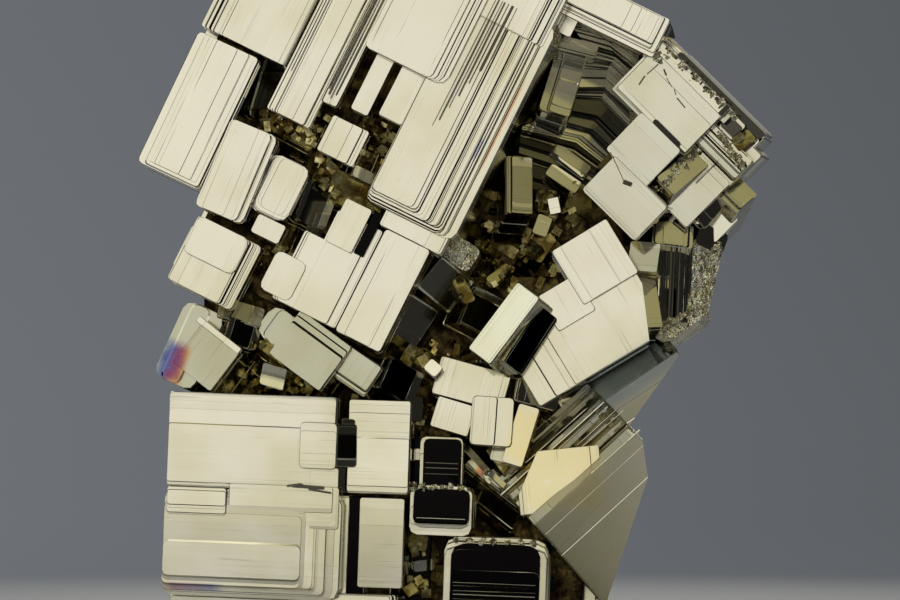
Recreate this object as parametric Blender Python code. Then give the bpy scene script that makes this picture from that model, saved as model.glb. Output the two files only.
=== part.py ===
"""Pyrite crystal cluster: stepped cubes grown through each other, one solid.

The object is listed crystal by crystal, in millimetres.  Crystals that grew
in one orientation share a Frame, whose u axis runs across the crystals, whose
v axis runs along their striations and whose w axis points out of the cluster.
Every crystal is a loft of rectangular outlines, drawn in once for each growth
step.  All of them are joined with a core mass by one Boolean union, and the
foot is cut flat.  Blender units are metres, +Z up, and the crystals' faces
look along -Y.
"""

import math
import random
from typing import NamedTuple

import bmesh
import bpy
from mathutils import Vector

MM = 0.001

# Driving dimensions, in millimetres
CENTRE_X = 0.88           # middle of the cluster's width, in the frames' own axes
CENTRE_Y = 3.93           # middle of its depth
FOOT_CUT = 0.0            # height at which the cluster was broken off its rock
WOBBLE = 0.35             # degrees by which neighbouring crystals differ
SOLVER = "MANIFOLD"       # the exact solver leaves open edges where so many crystals cross
EDGE = 0.14               # bevel along each crystal's edges
RISER_LEAN = 0.35         # run of a growth step's riser for each unit of its rise
TREAD_FALL = 0.02         # least height between two rings of a crystal
GROUND = 60.0             # size of the block that cuts the foot

# The metal
PYRITE_COLOUR = (0.78, 0.70, 0.48, 1.0)
PYRITE_ROUGHNESS = 0.16
PYRITE_METALLIC = 1.0


class Frame(NamedTuple):
    """An orientation: its origin, and its turns in degrees."""
    x: float
    z: float
    roll: float = 0.0       # clockwise, seen from the front
    yaw: float = 0.0        # turns the face to the left, which shows the right side
    pitch: float = 0.0      # turns the face up, which shows the underside
    y: float = 0.0


class Crystal(NamedTuple):
    """A crystal: the outline of its face, its depth and its growth steps."""
    name: str
    frame: Frame
    u: tuple
    v: tuple
    w: tuple                # from its root to the level of its outer outline
    steps: tuple = ()       # (left, right, bottom, top, rise) of each step
    corner: float = 0.25    # radius of the outline's corners
    turn: float = 0.0       # degrees by which it is rolled in its frame
    cuts: tuple = ()        # (x, z, lean) of each upright plane that trims its right side


UPPER = Frame(-5.0, 47.0, 26.5, 4.0, 1.5)
LOWER = Frame(-28.5, 0.0, 2.0, 4.0, 1.0)
MIDDLE = Frame(13.0, 30.0, -31.0, -3.0, 15.0)
EAST = Frame(23.0, 49.0, 45.0, 6.0, -5.0)
FLAT = Frame(0.0, 0.0)
UPPER_BACK = Frame(-5.0, 47.0, 26.5, 184.0, -1.5, 8.0)
LOWER_BACK = Frame(0.0, 0.0, 2.0, 184.0, -1.0, 8.0)
EAST_BACK = Frame(23.0, 49.0, 45.0, 186.0, 5.0, 8.0)
HEART_BACK = Frame(12.0, 30.0, -31.0, 183.0, 8.0, 8.0)


def lone(name, x, z, size, turns, w, steps=(), corner=0.25, cuts=()):
    """A crystal in an orientation of its own, by the middle of its face."""
    half_u, half_v = size[0] / 2, size[1] / 2
    frame = Frame(x, z, *turns)
    return Crystal(name, frame, (-half_u, half_u), (-half_v, half_v), w, steps, corner,
                   0.0, cuts)


CORE = (
    Crystal("core_upper", UPPER, (-14.8, 7.4), (-19.5, 18.0), (-14, 6.2)),
    Crystal("core_west", UPPER, (-21.8, -13.0), (-11.0, 17.6), (-13, 6.0)),
    Crystal("core_middle", FLAT, (-25.0, 11.0), (19.5, 34.4), (-12.5, 3.4)),
    Crystal("core_lower", LOWER, (1.0, 28.0), (-2.0, 22.5), (-14, 4.6)),
    Crystal("core_east", EAST, (-10.0, 7.4), (-8.2, 4.0), (-14, 1.2)),
    Crystal("core_link", FLAT, (9.0, 20.5), (28.5, 42.4), (-14, -1.4)),
    Crystal("core_back_wall", FLAT, (-1.5, 20.0), (27.0, 60.5), (-13.5, -7.0)),
    Crystal("core_top", UPPER, (1.0, 17.2), (17.0, 22.6), (-13, 4.2)),
    Crystal("core_foot_east", LOWER, (20.0, 42.5), (-2.0, 21.0), (-13, -1.0)),
)

UPPER_FACES = (
    Crystal("crown_west", UPPER, (-23.6, -14.1), (2.3, 18.6), (-2.5, 8.7),
            ((0.9, 0.0, 0.0, 0.5, 0.5), (0.9, 0.6, 0.0, 0.3, 0.25))),
    Crystal("west", UPPER, (-23.4, -16.4), (-12.7, 1.9), (0.5, 8.0),
            ((0.75, 0.35, 0.3, 0.0, 0.6), (0.7, 0.6, 0.3, 0.2, 0.2)), 0.6, -1.5),
    Crystal("west_foot", UPPER, (-16.3, -11.1), (-14.0, -4.4), (-4, 10.9),
            ((0.25, 0.5, 0.3, 0.1, 0.5),), 0.8, -4.0),
    Crystal("north", UPPER, (-14.0, -9.1), (-2.2, 19.6), (-6, 8.6),
            ((0.5, 0.5, 0.2, 0.4, 0.4), (0.45, 0.3, 0.0, 0.2, 0.2))),
    Crystal("north_rib", UPPER, (-9.5, -7.6), (0.9, 20.2), (-6, 9.0),
            ((0.5, 0.1, 0.1, 0.3, 0.5), (0.4, 0.1, 0.1, 0.2, 0.3))),
    Crystal("slot_strip", UPPER, (-6.5, -4.5), (1.7, 9.0), (-6, 9.4),
            ((0.15, 0.3, 0.3, 0.1, 0.4),)),
    Crystal("slot_plate", UPPER, (-3.3, -1.2), (2.3, 9.0), (-6, 9.8),
            ((0.1, 0.3, 0.3, 0.1, 0.4),)),
    Crystal("main", UPPER, (-1.0, 8.5), (-5.9, 17.9), (-6, 10.7),
            ((0.1, 0.7, 0.2, 0.3, 0.35), (0.15, 0.6, 0.5, 0.2, 0.3),
             (0.0, 0.7, 0.6, 0.2, 0.25), (0.0, 0.8, 0.7, 0.0, 0.2)), 0.5),
    Crystal("main_foot", UPPER, (2.4, 8.2), (-7.3, 1.0), (-8, 10.0),
            ((0.6, 0.5, 0.5, 0.1, 0.4), (0.9, 0.6, 0.5, 0.1, 0.2)), 0.5),
    Crystal("main_crown", UPPER, (-8.2, 8.2), (15.5, 21.4), (-9, 10.3),
            ((0.3, 0.7, 0.2, 0.5, 0.4), (0.5, 0.6, 0.2, 0.4, 0.3))),
    Crystal("top_plate", UPPER, (-8.6, 0.9), (7.6, 20.6), (2, 11.3),
            ((0.5, 0.45, 0.2, 0.4, 0.4), (0.45, 0.5, 0.2, 0.4, 0.35)), 1.1),
    Crystal("dice", UPPER, (-7.0, -3.6), (-3.4, 0.1), (-2, 9.8),
            ((0.2, 0.45, 0.1, 0.1, 0.3),)),
    Crystal("step_cube", UPPER, (-11.5, -7.3), (-11.3, -6.3), (-2, 9.2),
            ((0.6, 0.3, 0.1, 0.1, 0.4),), 0.4),
    Crystal("chip_cube", UPPER, (-9.7, -6.75), (-14.0, -11.7), (-2, 9.0),
            ((0.1, 0.15, 0.1, 0.1, 0.2),)),
    Crystal("round_plate", UPPER, (-6.6, -3.1), (-18.7, -14.3), (-2, 10.0),
            ((0.2, 0.35, 0.2, 0.15, 0.4),), 0.8),
    Crystal("shelf", UPPER, (-15.2, -8.0), (-22.0, -14.8), (-2, 10.6),
            ((0.2, 0.5, 0.2, 0.0, 0.4), (0.0, 0.5, 0.3, 0.0, 0.3)), 0.5),
    Crystal("shelf_plate", UPPER, (-15.1, -9.3), (-18.8, -14.7), (4, 11.8),
            ((0.1, 0.3, 0.2, 0.1, 0.25),), 0.8),
    Crystal("south", UPPER, (-4.7, 2.4), (-19.0, -8.0), (-6, 9.6),
            ((0.3, 0.2, 0.2, 0.1, 0.3), (0.4, 0.9, 0.1, 0.1, 0.2))),
    Crystal("south_cap", UPPER, (-2.7, 0.3), (-11.5, -6.6), (0, 10.6),
            ((0.1, 0.25, 0.1, 0.1, 0.3),)),
    Crystal("south_slab", UPPER, (2.2, 7.3), (-19.1, -7.6), (-6, 10.7),
            ((0.1, 0.35, 0.2, 0.2, 0.4),), 0.35),
    Crystal("bar", UPPER, (-1.0, 18.6), (19.7, 24.0), (-12, 5.0),
            ((0.5, 0.4, 0.5, 0.3, 0.5), (0.3, 0.3, 0.4, 0.3, 0.3))),
)

LOWER_FACES = (
    Crystal("low_top", LOWER, (0.15, 17.3), (13.2, 22.75), (-6, 10.4),
            ((0.2, 0.4, 0.1, 0.35, 0.4), (0.1, 0.4, 0.9, 0.1, 0.2)), 0.35, 0.6),
    Crystal("low_plate", LOWER, (13.4, 17.7), (15.2, 19.9), (2, 11.2),
            ((0.1, 0.4, 0.2, 0.1, 0.35),), 0.45),
    Crystal("low_tab", LOWER, (14.0, 17.4), (12.6, 15.0), (2, 10.2),
            ((0.1, 0.3, 0.1, 0.1, 0.3),)),
    Crystal("low_bottom", LOWER, (-0.25, 18.1), (-3.0, 13.1), (-6, 11.2),
            ((0.2, 0.35, 0.1, 0.15, 0.4), (0.1, 0.5, 0.3, 1.0, 0.25),
             (0.1, 0.8, 0.3, 1.4, 0.2)), 0.6),
    Crystal("low_riser", LOWER, (6.4, 17.8), (9.2, 13.6), (4, 11.9),
            ((0.2, 0.5, 0.1, 0.2, 0.3),), 0.35),
    Crystal("post_upper", LOWER, (18.1, 24.7), (12.6, 21.9), (-6, 8.6),
            ((0.2, 0.35, 0.1, 0.15, 0.4),)),
    Crystal("post_lower", LOWER, (19.6, 24.2), (-3.0, 12.4), (-6, 9.0),
            ((0.5, 0.35, 0.1, 0.1, 0.4),)),
    Crystal("post_block", LOWER, (18.3, 20.7), (15.4, 19.9), (-2, 9.6),
            ((0.1, 0.2, 0.1, 0.1, 0.2),)),
    Crystal("dark_post", LOWER, (24.3, 26.6), (-3.0, 19.0), (-6, 5.2),
            ((0.1, 0.3, 0.1, 0.3, 0.4),)),
    Crystal("dark_upper", LOWER, (25.4, 29.8), (12.4, 17.9), (-4, 6.4),
            ((0.25, 0.25, 0.1, 0.25, 0.5),), 0.7),
    Crystal("dark_middle", LOWER, (24.5, 30.5), (7.9, 13.0), (-4, 7.6),
            ((0.35, 0.35, 0.3, 0.3, 0.5),), 1.0),
    Crystal("dark_lower", LOWER, (28.4, 38.6), (-3.0, 8.3), (-4, 6.8),
            ((0.3, 0.3, 0.1, 0.35, 0.5), (0.3, 0.3, 0.1, 0.5, 0.4)), 1.3),
)

SMALL_FACES = (
    lone("rounded_back", -26.2, 27.4, (4.6, 8.4), (24, -4, 6), (-6, 6.4),
         ((0.3, 0.2, 0.3, 0.3, 0.4),), 1.2),
    lone("tilted_slab", -24.4, 26.3, (5.6, 4.2), (38, 20, 14), (-7, 9.0),
         ((0.5, 0.2, 0.2, 0.5, 0.5),)),
    lone("tilted_plate", -14.0, 26.9, (6.6, 5.6), (36, 14, 12), (-7, 8.4),
         ((0.2, 0.2, 0.2, 0.3, 0.3), (0.2, 1.6, 0.2, 0.2, 0.25))),
    lone("tilted_corner", -16.5, 29.0, (4.2, 3.4), (12, 22, 26), (-7, 7.2)),
    lone("hollow_cube", -21.0, 30.6, (4.0, 2.4), (14, 12, 8), (-6, 7.2)),
    lone("seed_left", -17.8, 24.3, (2.7, 2.4), (18, 18, -20), (-4, 8.0)),
    lone("ridge_slab", -9.0, 25.0, (4.4, 3.4), (34, 30, 4), (-8, 8.8),
         ((0.2, 0.2, 0.5, 0.2, 0.5),)),
    lone("ridge_end", -3.0, 23.8, (3.4, 2.8), (20, 40, 0), (-6, 7.0)),
    lone("seed_right", -1.7, 25.2, (1.6, 1.4), (40, 10, 10), (-2, 8.6)),
    Crystal("neck_plate", Frame(0.0, 0.0, 15.0, 5.0, 6.0), (-7.3, -1.2), (21.8, 26.2),
            (-6, 6.6), ((0.2, 0.3, 0.2, 0.2, 0.3),), 0.4),
    lone("neck_left", 0.1, 20.0, (3.6, 2.9), (22, -4, 8), (-4, 6.6), (), 0.5),
    lone("neck_hex", 4.0, 19.8, (3.7, 4.5), (4, 0, 8), (-4, 7.6),
         ((0.2, 0.2, 0.2, 0.2, 0.25),), 1.0),
    lone("neck_seed", 5.2, 16.4, (2.3, 1.5), (12, 10, 6), (-2, 6.2)),
    lone("gold_face", 7.3, 18.1, (2.4, 6.2), (17, 8, 16), (-6, 7.2)),
    Crystal("heart_upper", MIDDLE, (1.3, 7.7), (1.6, 7.5), (-6, 8.6),
            ((0.2, 0.15, 0.1, 0.2, 0.3),)),
    Crystal("heart", MIDDLE, (-7.6, 7.2), (-5.7, 2.3), (-8, 7.8),
            ((0.2, 0.2, 0.2, 0.2, 0.35), (0.2, 3.6, 0.2, 0.1, 0.3)), 0.25),
    lone("spear", 5.5, 29.6, (3.2, 8.4), (37, 30, 0), (-7, 10.4),
         ((0.2, 0.2, 0.2, 0.3, 0.3),)),
    lone("great_cube", 11.3, 16.4, (14.0, 9.6), (-42, -2, 44), (-15, 5.2),
         ((0.0, 0.1, 0.5, 0.6, 0.4), (0.2, 0.1, 0.6, 0.4, 0.3)), 0.25,
         ((19.2, 19.0, -9.0), (20.0, 14.0, 17.5))),
    lone("under_slab", 18.3, 25.0, (10.0, 3.6), (-33, -6, 48), (-6, 1.2), (), 0.25,
         ((24.0, 27.5, 35.0),)),
)

EAST_FACES = (
    Crystal("east_wall", EAST, (-11.4, 6.6), (-6.0, 6.0), (-9, 0.6),
            ((0.4, 0.3, 0.2, 0.45, 0.6), (0.3, 0.3, 0.2, 0.45, 0.5))),
    Crystal("east_slab", EAST, (-7.6, 0.9), (-1.0, 5.3), (-6, 4.4),
            ((0.2, 0.3, 0.2, 0.3, 0.4), (0.2, 0.3, 0.6, 0.3, 0.3))),
    Crystal("east_plate", EAST, (-4.3, 3.2), (-6.9, -0.8), (-4, 3.4),
            ((0.1, 1.0, 0.1, 0.1, 1.6), (0.1, 0.6, 0.1, 0.1, 1.0)), 1.2),
    Crystal("east_bundle", EAST, (0.6, 7.4), (-5.3, 2.4), (-6, 3.2),
            ((0.1, 0.3, 0.3, 0.45, 0.4), (0.1, 0.3, 0.3, 0.5, 0.4))),
    Crystal("east_foot", EAST, (-3.3, 4.9), (-10.9, -6.0), (-6, 4.8),
            ((0.2, 0.3, 0.2, 0.1, 0.4),), 0.5),
    Crystal("knob_end", EAST, (6.4, 10.3), (-1.8, 1.5), (-6, 2.2),
            ((0.2, 0.3, 0.2, 0.2, 0.4),)),
    Crystal("knob_dark", EAST, (2.2, 5.0), (2.6, 5.6), (-6, 3.0), ((0.2, 0.2, 0.2, 0.2, 0.3),)),
    Crystal("knob_high", EAST, (4.9, 7.9), (1.3, 4.5), (-7, 1.4),
            ((0.3, 0.3, 0.3, 0.3, 0.5),)),
    Crystal("knob_low", EAST, (7.2, 10.8), (-5.2, -1.6), (-5, 0.0), ((0.3, 0.3, 0.3, 0.3, 0.5),)),
    lone("column", 23.4, 34.8, (3.9, 9.6), (3, 6, -34), (-8, 2.4),
         ((0.3, 0.3, 0.1, 0.2, 0.4),)),
    lone("column_side", 19.9, 32.3, (2.6, 6.8), (-3, 10, 4), (-8, 2.4)),
    lone("column_top", 19.6, 36.4, (3.2, 3.2), (4, 14, 16), (-6, 3.4)),
    lone("break_high", 25.2, 34.6, (4.8, 8.6), (14, -12, -6), (-10, 0.8), (), 1.0),
    lone("break_low", 22.6, 30.6, (5.4, 5.0), (38, -8, -8), (-10, 1.0), (), 1.2),
    lone("knob_black", 26.6, 38.2, (3.4, 2.4), (24, 12, 8), (-6, 0.6), (), 0.6),
)

RECESS_FACES = (
    lone("recess_step_1", 14.0, 57.0, (8.0, 4.6), (26, -24, -12), (-9, -1.6),
         ((0.2, 0.2, 0.5, 0.2, 0.5),)),
    lone("recess_step_2", 12.6, 51.8, (9.0, 4.2), (24, -30, -10), (-9, -3.4),
         ((0.2, 0.2, 0.5, 0.2, 0.5),)),
    lone("recess_step_3", 11.2, 47.2, (8.0, 4.0), (28, -34, -8), (-9, -4.6),
         ((0.2, 0.2, 0.5, 0.2, 0.5),)),
    lone("recess_step_4", 14.0, 42.6, (6.0, 4.4), (24, -30, 10), (-9, -4.0)),
    lone("recess_post", 7.2, 43.0, (3.0, 6.4), (8, 16, -4), (-9, -2.6)),
    lone("recess_dice", 13.2, 58.6, (3.6, 2.6), (14, 20, 16), (-8, 0.6)),
    lone("recess_seed", 9.6, 38.2, (3.0, 3.6), (30, -14, 12), (-9, -1.6)),
    lone("shadow_cube_1", -0.4, 33.6, (4.6, 4.4), (40, 30, -24), (-8, 4.8)),
    lone("shadow_cube_2", 3.6, 30.6, (4.4, 4.4), (28, 34, -20), (-8, 4.4)),
    lone("shadow_cube_3", -3.8, 30.0, (4.0, 4.4), (32, 24, -26), (-8, 5.2)),
    lone("rough_face", 0.9, 36.4, (4.6, 4.8), (34, 6, -16), (-7, 5.4), (), 0.7),
)

SIDE_FACES = (
    Crystal("side_west_high", UPPER, (-23.0, -18.0), (8.4, 15.6), (-7.4, 1.0),
            ((0.0, 0.0, 0.4, 0.4, 0.4),), 0.3),
    Crystal("side_west_step", UPPER, (-23.5, -18.0), (4.0, 7.6), (-5.2, 0.2)),
    Crystal("side_west_low", UPPER, (-23.0, -18.0), (-9.4, -3.2), (-4.8, 2.6)),
    Crystal("side_west_seed", UPPER, (-23.4, -18.0), (-5.0, -1.4), (-3.0, 1.2)),
    Crystal("side_shelf", UPPER, (-15.6, -9.0), (-20.6, -16.0), (-7.6, 3.0)),
    Crystal("side_shelf_seed", UPPER, (-15.0, -11.0), (-22.2, -18.0), (-4.6, 1.4)),
    Crystal("side_low_west", LOWER, (-0.2, 6.0), (3.0, 10.2), (-8.8, 2.0)),
    Crystal("side_low_step", LOWER, (0.2, 6.0), (12.0, 18.0), (-6.4, 3.2)),
    Crystal("side_low_seed", LOWER, (-0.5, 4.0), (8.0, 11.4), (-4.6, -0.6)),
    Crystal("side_middle", FLAT, (-25.8, -20.0), (23.0, 27.6), (-9.4, -2.4)),
    Crystal("side_east", EAST, (-8.0, -1.0), (0.0, 6.4), (-7.4, -1.8)),
    Crystal("side_east_seed", EAST, (-2.4, 2.6), (0.0, 6.2), (-5.4, -0.4)),
    Crystal("top_west", UPPER, (-20.4, -15.2), (14.0, 19.5), (-6.6, 3.4)),
    Crystal("top_middle", UPPER, (-13.0, -4.0), (15.0, 20.7), (-10.4, 2.6)),
    Crystal("top_seed", UPPER, (-7.2, -2.6), (16.0, 22.0), (-4.0, 1.4)),
    Crystal("top_east", UPPER, (3.4, 10.2), (18.0, 24.4), (-6.0, 1.0)),
)

BACK_FACES = (
    Crystal("back_crown", UPPER_BACK, (9.0, 23.2), (2.5, 18.3), (0, 8.6),
            ((0.6, 0.7, 0.3, 0.5, 0.5), (0.6, 0.7, 0.2, 0.4, 0.3))),
    Crystal("back_west", UPPER_BACK, (12.6, 23.0), (-12.4, 3.0), (-1, 7.6),
            ((0.5, 0.7, 0.4, 0.3, 0.5), (2.6, 0.6, 0.3, 0.4, 0.35)), 0.4),
    Crystal("back_main", UPPER_BACK, (-7.8, 9.8), (-4.0, 20.8), (-6, 10.0),
            ((0.7, 0.5, 0.5, 0.5, 0.5), (0.8, 0.6, 0.9, 0.5, 0.35),
             (1.2, 3.0, 1.6, 0.6, 0.3)), 0.5),
    Crystal("back_plate", UPPER_BACK, (0.6, 7.0), (4.6, 15.6), (0, 11.9),
            ((0.3, 0.3, 0.3, 0.3, 0.3),), 1.2),
    Crystal("back_foot", UPPER_BACK, (-2.4, 8.6), (-18.6, -2.0), (-6, 8.4),
            ((0.5, 0.5, 0.6, 0.4, 0.5), (0.5, 2.8, 0.6, 0.4, 0.3)), 0.4),
    Crystal("back_shelf", UPPER_BACK, (7.2, 15.0), (-20.2, -9.6), (-6, 6.4),
            ((0.4, 0.5, 0.4, 0.4, 0.5), (1.4, 0.5, 1.2, 0.4, 0.3)), 0.5),
    Crystal("back_dice", UPPER_BACK, (5.6, 9.4), (-9.4, -5.4), (-2, 9.8),
            ((0.2, 0.3, 0.2, 0.2, 0.3),)),
    Crystal("back_middle", UPPER_BACK, (-12.4, -2.0), (-25.0, -13.6), (-6, 6.6),
            ((0.5, 0.5, 0.5, 0.4, 0.5), (0.5, 0.5, 2.2, 0.4, 0.35)), 0.4),
    Crystal("back_middle_seed", UPPER_BACK, (-3.6, 1.4), (-21.6, -17.4), (0, 7.8),
            ((0.3, 0.3, 0.3, 0.3, 0.4),)),
    Crystal("back_link", EAST_BACK, (-6.6, 4.4), (-20.0, -9.4), (-6, 6.8),
            ((0.5, 0.5, 0.5, 0.4, 0.5), (1.8, 0.5, 0.6, 0.4, 0.35)), 0.4),
    Crystal("back_link_seed", EAST_BACK, (-9.4, -5.2), (-15.4, -10.6), (-4, 7.8),
            ((0.3, 0.3, 0.3, 0.3, 0.4),)),
    Crystal("back_waist", LOWER_BACK, (19.0, 26.6), (21.0, 29.6), (-6, 6.4),
            ((0.5, 0.5, 0.3, 0.5, 0.5),), 0.3, 24.0),
    Crystal("back_waist_seed", LOWER_BACK, (13.2, 17.2), (22.2, 26.6), (-2, 7.2),
            ((0.3, 0.3, 0.3, 0.3, 0.4),), 0.25, -12.0),
    Crystal("back_bar", UPPER_BACK, (-17.6, -2.0), (17.6, 23.4), (-6, 6.6),
            ((0.4, 0.5, 0.4, 0.3, 0.5), (0.4, 0.5, 0.5, 0.3, 0.35))),
    Crystal("back_east", EAST_BACK, (-6.6, 11.0), (-7.0, 4.6), (-6, 7.4),
            ((0.4, 0.5, 0.5, 0.5, 0.5), (0.8, 0.5, 1.4, 0.5, 0.35)), 0.5),
    Crystal("back_east_plate", EAST_BACK, (-1.0, 6.4), (-3.2, 2.8), (0, 9.0),
            ((0.3, 0.3, 0.3, 0.3, 0.3),), 1.0),
    Crystal("back_low_west", LOWER_BACK, (8.6, 27.4), (-3.0, 12.4), (-6, 9.4),
            ((0.4, 0.5, 0.2, 0.5, 0.5), (0.7, 0.5, 0.2, 1.0, 0.35)), 0.5),
    Crystal("back_low_upper", LOWER_BACK, (10.8, 26.6), (12.0, 22.6), (-6, 8.0),
            ((0.4, 0.5, 0.3, 0.5, 0.5), (1.4, 0.5, 0.3, 0.7, 0.3)), 0.4),
    Crystal("back_low_plate", LOWER_BACK, (14.0, 21.0), (8.4, 17.4), (0, 10.6),
            ((0.3, 0.3, 0.3, 0.3, 0.3),), 0.9),
    Crystal("back_low_middle", LOWER_BACK, (-4.6, 9.4), (-3.0, 15.4), (-6, 7.0),
            ((0.5, 0.5, 0.2, 0.5, 0.5), (0.6, 2.2, 0.2, 0.8, 0.3)), 0.4),
    Crystal("back_low_east", LOWER_BACK, (-14.6, -3.8), (-3.0, 13.2), (-8, 5.4),
            ((0.6, 0.5, 0.2, 0.6, 0.5), (0.7, 0.4, 0.2, 0.8, 0.35)), 0.4),
    Crystal("back_heart", HEART_BACK, (-6.0, 8.0), (-6.0, 6.4),
            (-8, 6.2), ((0.5, 0.5, 0.5, 0.5, 0.5), (0.5, 2.4, 0.5, 0.8, 0.3)), 0.4),
    Crystal("back_heart_dice", HEART_BACK, (-4.6, 0.4),
            (-2.6, 2.6), (-2, 8.2), ((0.2, 0.3, 0.2, 0.2, 0.3),), 0.25, 6.0),
)

CRYSTALS = (CORE + UPPER_FACES + LOWER_FACES + SMALL_FACES + EAST_FACES
            + RECESS_FACES + SIDE_FACES + BACK_FACES)


def axes_of(roll, yaw, pitch):
    """The u, v and w directions of an orientation, from its turns in degrees."""
    roll, yaw, pitch = (math.radians(turn) for turn in (roll, yaw, pitch))
    u = Vector((math.cos(roll), 0.0, -math.sin(roll)))
    v = Vector((math.sin(roll), 0.0, math.cos(roll)))
    w = Vector((0.0, -1.0, 0.0))
    u, w = (u * math.cos(yaw) + w * math.sin(yaw), w * math.cos(yaw) - u * math.sin(yaw))
    v, w = (v * math.cos(pitch) - w * math.sin(pitch), w * math.cos(pitch) + v * math.sin(pitch))
    return u, v, w


def place_of(crystal):
    """The middle of a crystal's outer face and its three directions."""
    frame = crystal.frame
    draw = random.Random(crystal.name)
    front = frame.yaw < 90
    flat = axes_of(frame.roll, 0.0 if front else 180.0, 0.0)
    origin = Vector((frame.x, frame.y, frame.z))
    middle = (origin + flat[0] * sum(crystal.u) / 2 + flat[1] * sum(crystal.v) / 2
              + flat[2] * crystal.w[1])
    turns = (turn + draw.uniform(-WOBBLE, WOBBLE) for turn in (frame.roll, frame.yaw, frame.pitch))
    roll, yaw, pitch = turns
    return middle, axes_of(roll + crystal.turn, yaw, pitch)


def outline(left, right, bottom, top, radius, arc_points):
    """A rectangle with round corners, anticlockwise, as (u, v) pairs."""
    if arc_points == 1:
        return [(right, top), (left, top), (left, bottom), (right, bottom)]
    radius = min(radius, (right - left) * 0.45, (top - bottom) * 0.45)
    centres = ((right - radius, top - radius, 0), (left + radius, top - radius, 90),
               (left + radius, bottom + radius, 180), (right - radius, bottom + radius, 270))
    points = []
    for u, v, start in centres:
        for step in range(arc_points):
            angle = math.radians(start + 90 * step / (arc_points - 1))
            points.append((u + radius * math.cos(angle), v + radius * math.sin(angle)))
    return points


def rings_of(crystal):
    """The outlines that a crystal's loft passes through, as (insets, w) pairs."""
    depth = crystal.w[0] - crystal.w[1]
    insets = [0.0, 0.0, 0.0, 0.0]
    level = 0.0
    rings = [(tuple(insets), depth), (tuple(insets), level - EDGE)]
    insets = [EDGE, EDGE, EDGE, EDGE]
    rings.append((tuple(insets), level))
    for *run, rise in crystal.steps:
        insets = [inset + distance for inset, distance in zip(insets, run)]
        rings.append((tuple(insets), level + TREAD_FALL))
        insets = [inset + rise * RISER_LEAN for inset in insets]
        level += rise
        rings.append((tuple(insets), level))
    return rings


def trim(shape, cuts):
    """Cuts away what lies to the right of upright planes, and closes the cuts."""
    for x, z, lean in cuts:
        angle = math.radians(lean)
        right = Vector((math.cos(angle), 0.0, -math.sin(angle)))
        parts = shape.verts[:] + shape.edges[:] + shape.faces[:]
        cut = bmesh.ops.bisect_plane(shape, geom=parts, plane_co=Vector((x, 0.0, z)) * MM,
                                     plane_no=right, clear_outer=True)
        edges = [part for part in cut["geom_cut"] if isinstance(part, bmesh.types.BMEdge)]
        bmesh.ops.contextual_create(shape, geom=edges)


def loft(name, rings, outline_of, place, cuts):
    """A closed mesh through rings of equally many points, trimmed by the cuts."""
    middle, (u_axis, v_axis, w_axis) = place
    shape = bmesh.new()
    loops = []
    for insets, w in rings:
        points = outline_of(insets)
        loops.append([shape.verts.new((middle + u_axis * u + v_axis * v + w_axis * w) * MM)
                      for u, v in points])
    for lower, upper in zip(loops, loops[1:]):
        for here in range(len(lower)):
            after = (here + 1) % len(lower)
            shape.faces.new((lower[here], lower[after], upper[after], upper[here]))
    shape.faces.new(loops[-1])
    shape.faces.new(reversed(loops[0]))
    trim(shape, cuts)
    bmesh.ops.recalc_face_normals(shape, faces=shape.faces)
    mesh = bpy.data.meshes.new(name)
    shape.to_mesh(mesh)
    shape.free()
    return mesh


def crystal_mesh(crystal):
    """One crystal as a closed mesh in the cluster's axes."""
    half_u = (crystal.u[1] - crystal.u[0]) / 2
    half_v = (crystal.v[1] - crystal.v[0]) / 2
    arc_points = 1 if crystal.corner < 0.3 else 2 if crystal.corner < 0.7 else 4

    def outline_of(insets):
        left, right, bottom, top = insets
        return outline(left - half_u, half_u - right, bottom - half_v, half_v - top,
                       crystal.corner, arc_points)

    return loft(crystal.name, rings_of(crystal), outline_of, place_of(crystal), crystal.cuts)


def metal():
    """Pyrite: pale brass-yellow metal with smooth faces."""
    material = bpy.data.materials.new("pyrite")
    material.use_nodes = True
    shader = material.node_tree.nodes["Principled BSDF"]
    shader.inputs["Base Color"].default_value = PYRITE_COLOUR
    shader.inputs["Roughness"].default_value = PYRITE_ROUGHNESS
    shader.inputs["Metallic"].default_value = PYRITE_METALLIC
    return material


def cutter(name, mesh, collection):
    """An object that only takes part in a Boolean."""
    item = bpy.data.objects.new(name, mesh)
    item.location = (-CENTRE_X * MM, -CENTRE_Y * MM, 0.0)
    item.hide_render = True
    item.display_type = "WIRE"
    collection.objects.link(item)
    return item


def ground_mesh():
    """The block below the foot's flat cut."""
    shape = bmesh.new()
    bmesh.ops.create_cube(shape, size=2 * GROUND * MM)
    bmesh.ops.translate(shape, verts=shape.verts, vec=(0.0, 0.0, (FOOT_CUT - GROUND) * MM))
    mesh = bpy.data.meshes.new("ground")
    shape.to_mesh(mesh)
    shape.free()
    return mesh


def build_cluster(scene):
    """Joins every crystal to the first core crystal and cuts the foot flat."""
    grown = bpy.data.collections.new("crystals")
    cutters = bpy.data.collections.new("cutters")
    scene.collection.children.link(grown)
    scene.collection.children.link(cutters)
    first, *others = CRYSTALS
    cluster = bpy.data.objects.new("pyrite_cluster", crystal_mesh(first))
    cluster.location = (-CENTRE_X * MM, -CENTRE_Y * MM, 0.0)
    cluster.data.materials.append(metal())
    scene.collection.objects.link(cluster)
    for crystal in others:
        cutter(crystal.name, crystal_mesh(crystal), grown)
    ground = cutter("ground", ground_mesh(), cutters)
    union = cluster.modifiers.new("grown_together", "BOOLEAN")
    union.operation = "UNION"
    union.operand_type = "COLLECTION"
    union.collection = grown
    union.solver = SOLVER
    foot = cluster.modifiers.new("foot_cut", "BOOLEAN")
    foot.operation = "DIFFERENCE"
    foot.object = ground
    foot.solver = SOLVER
    return cluster


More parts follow.
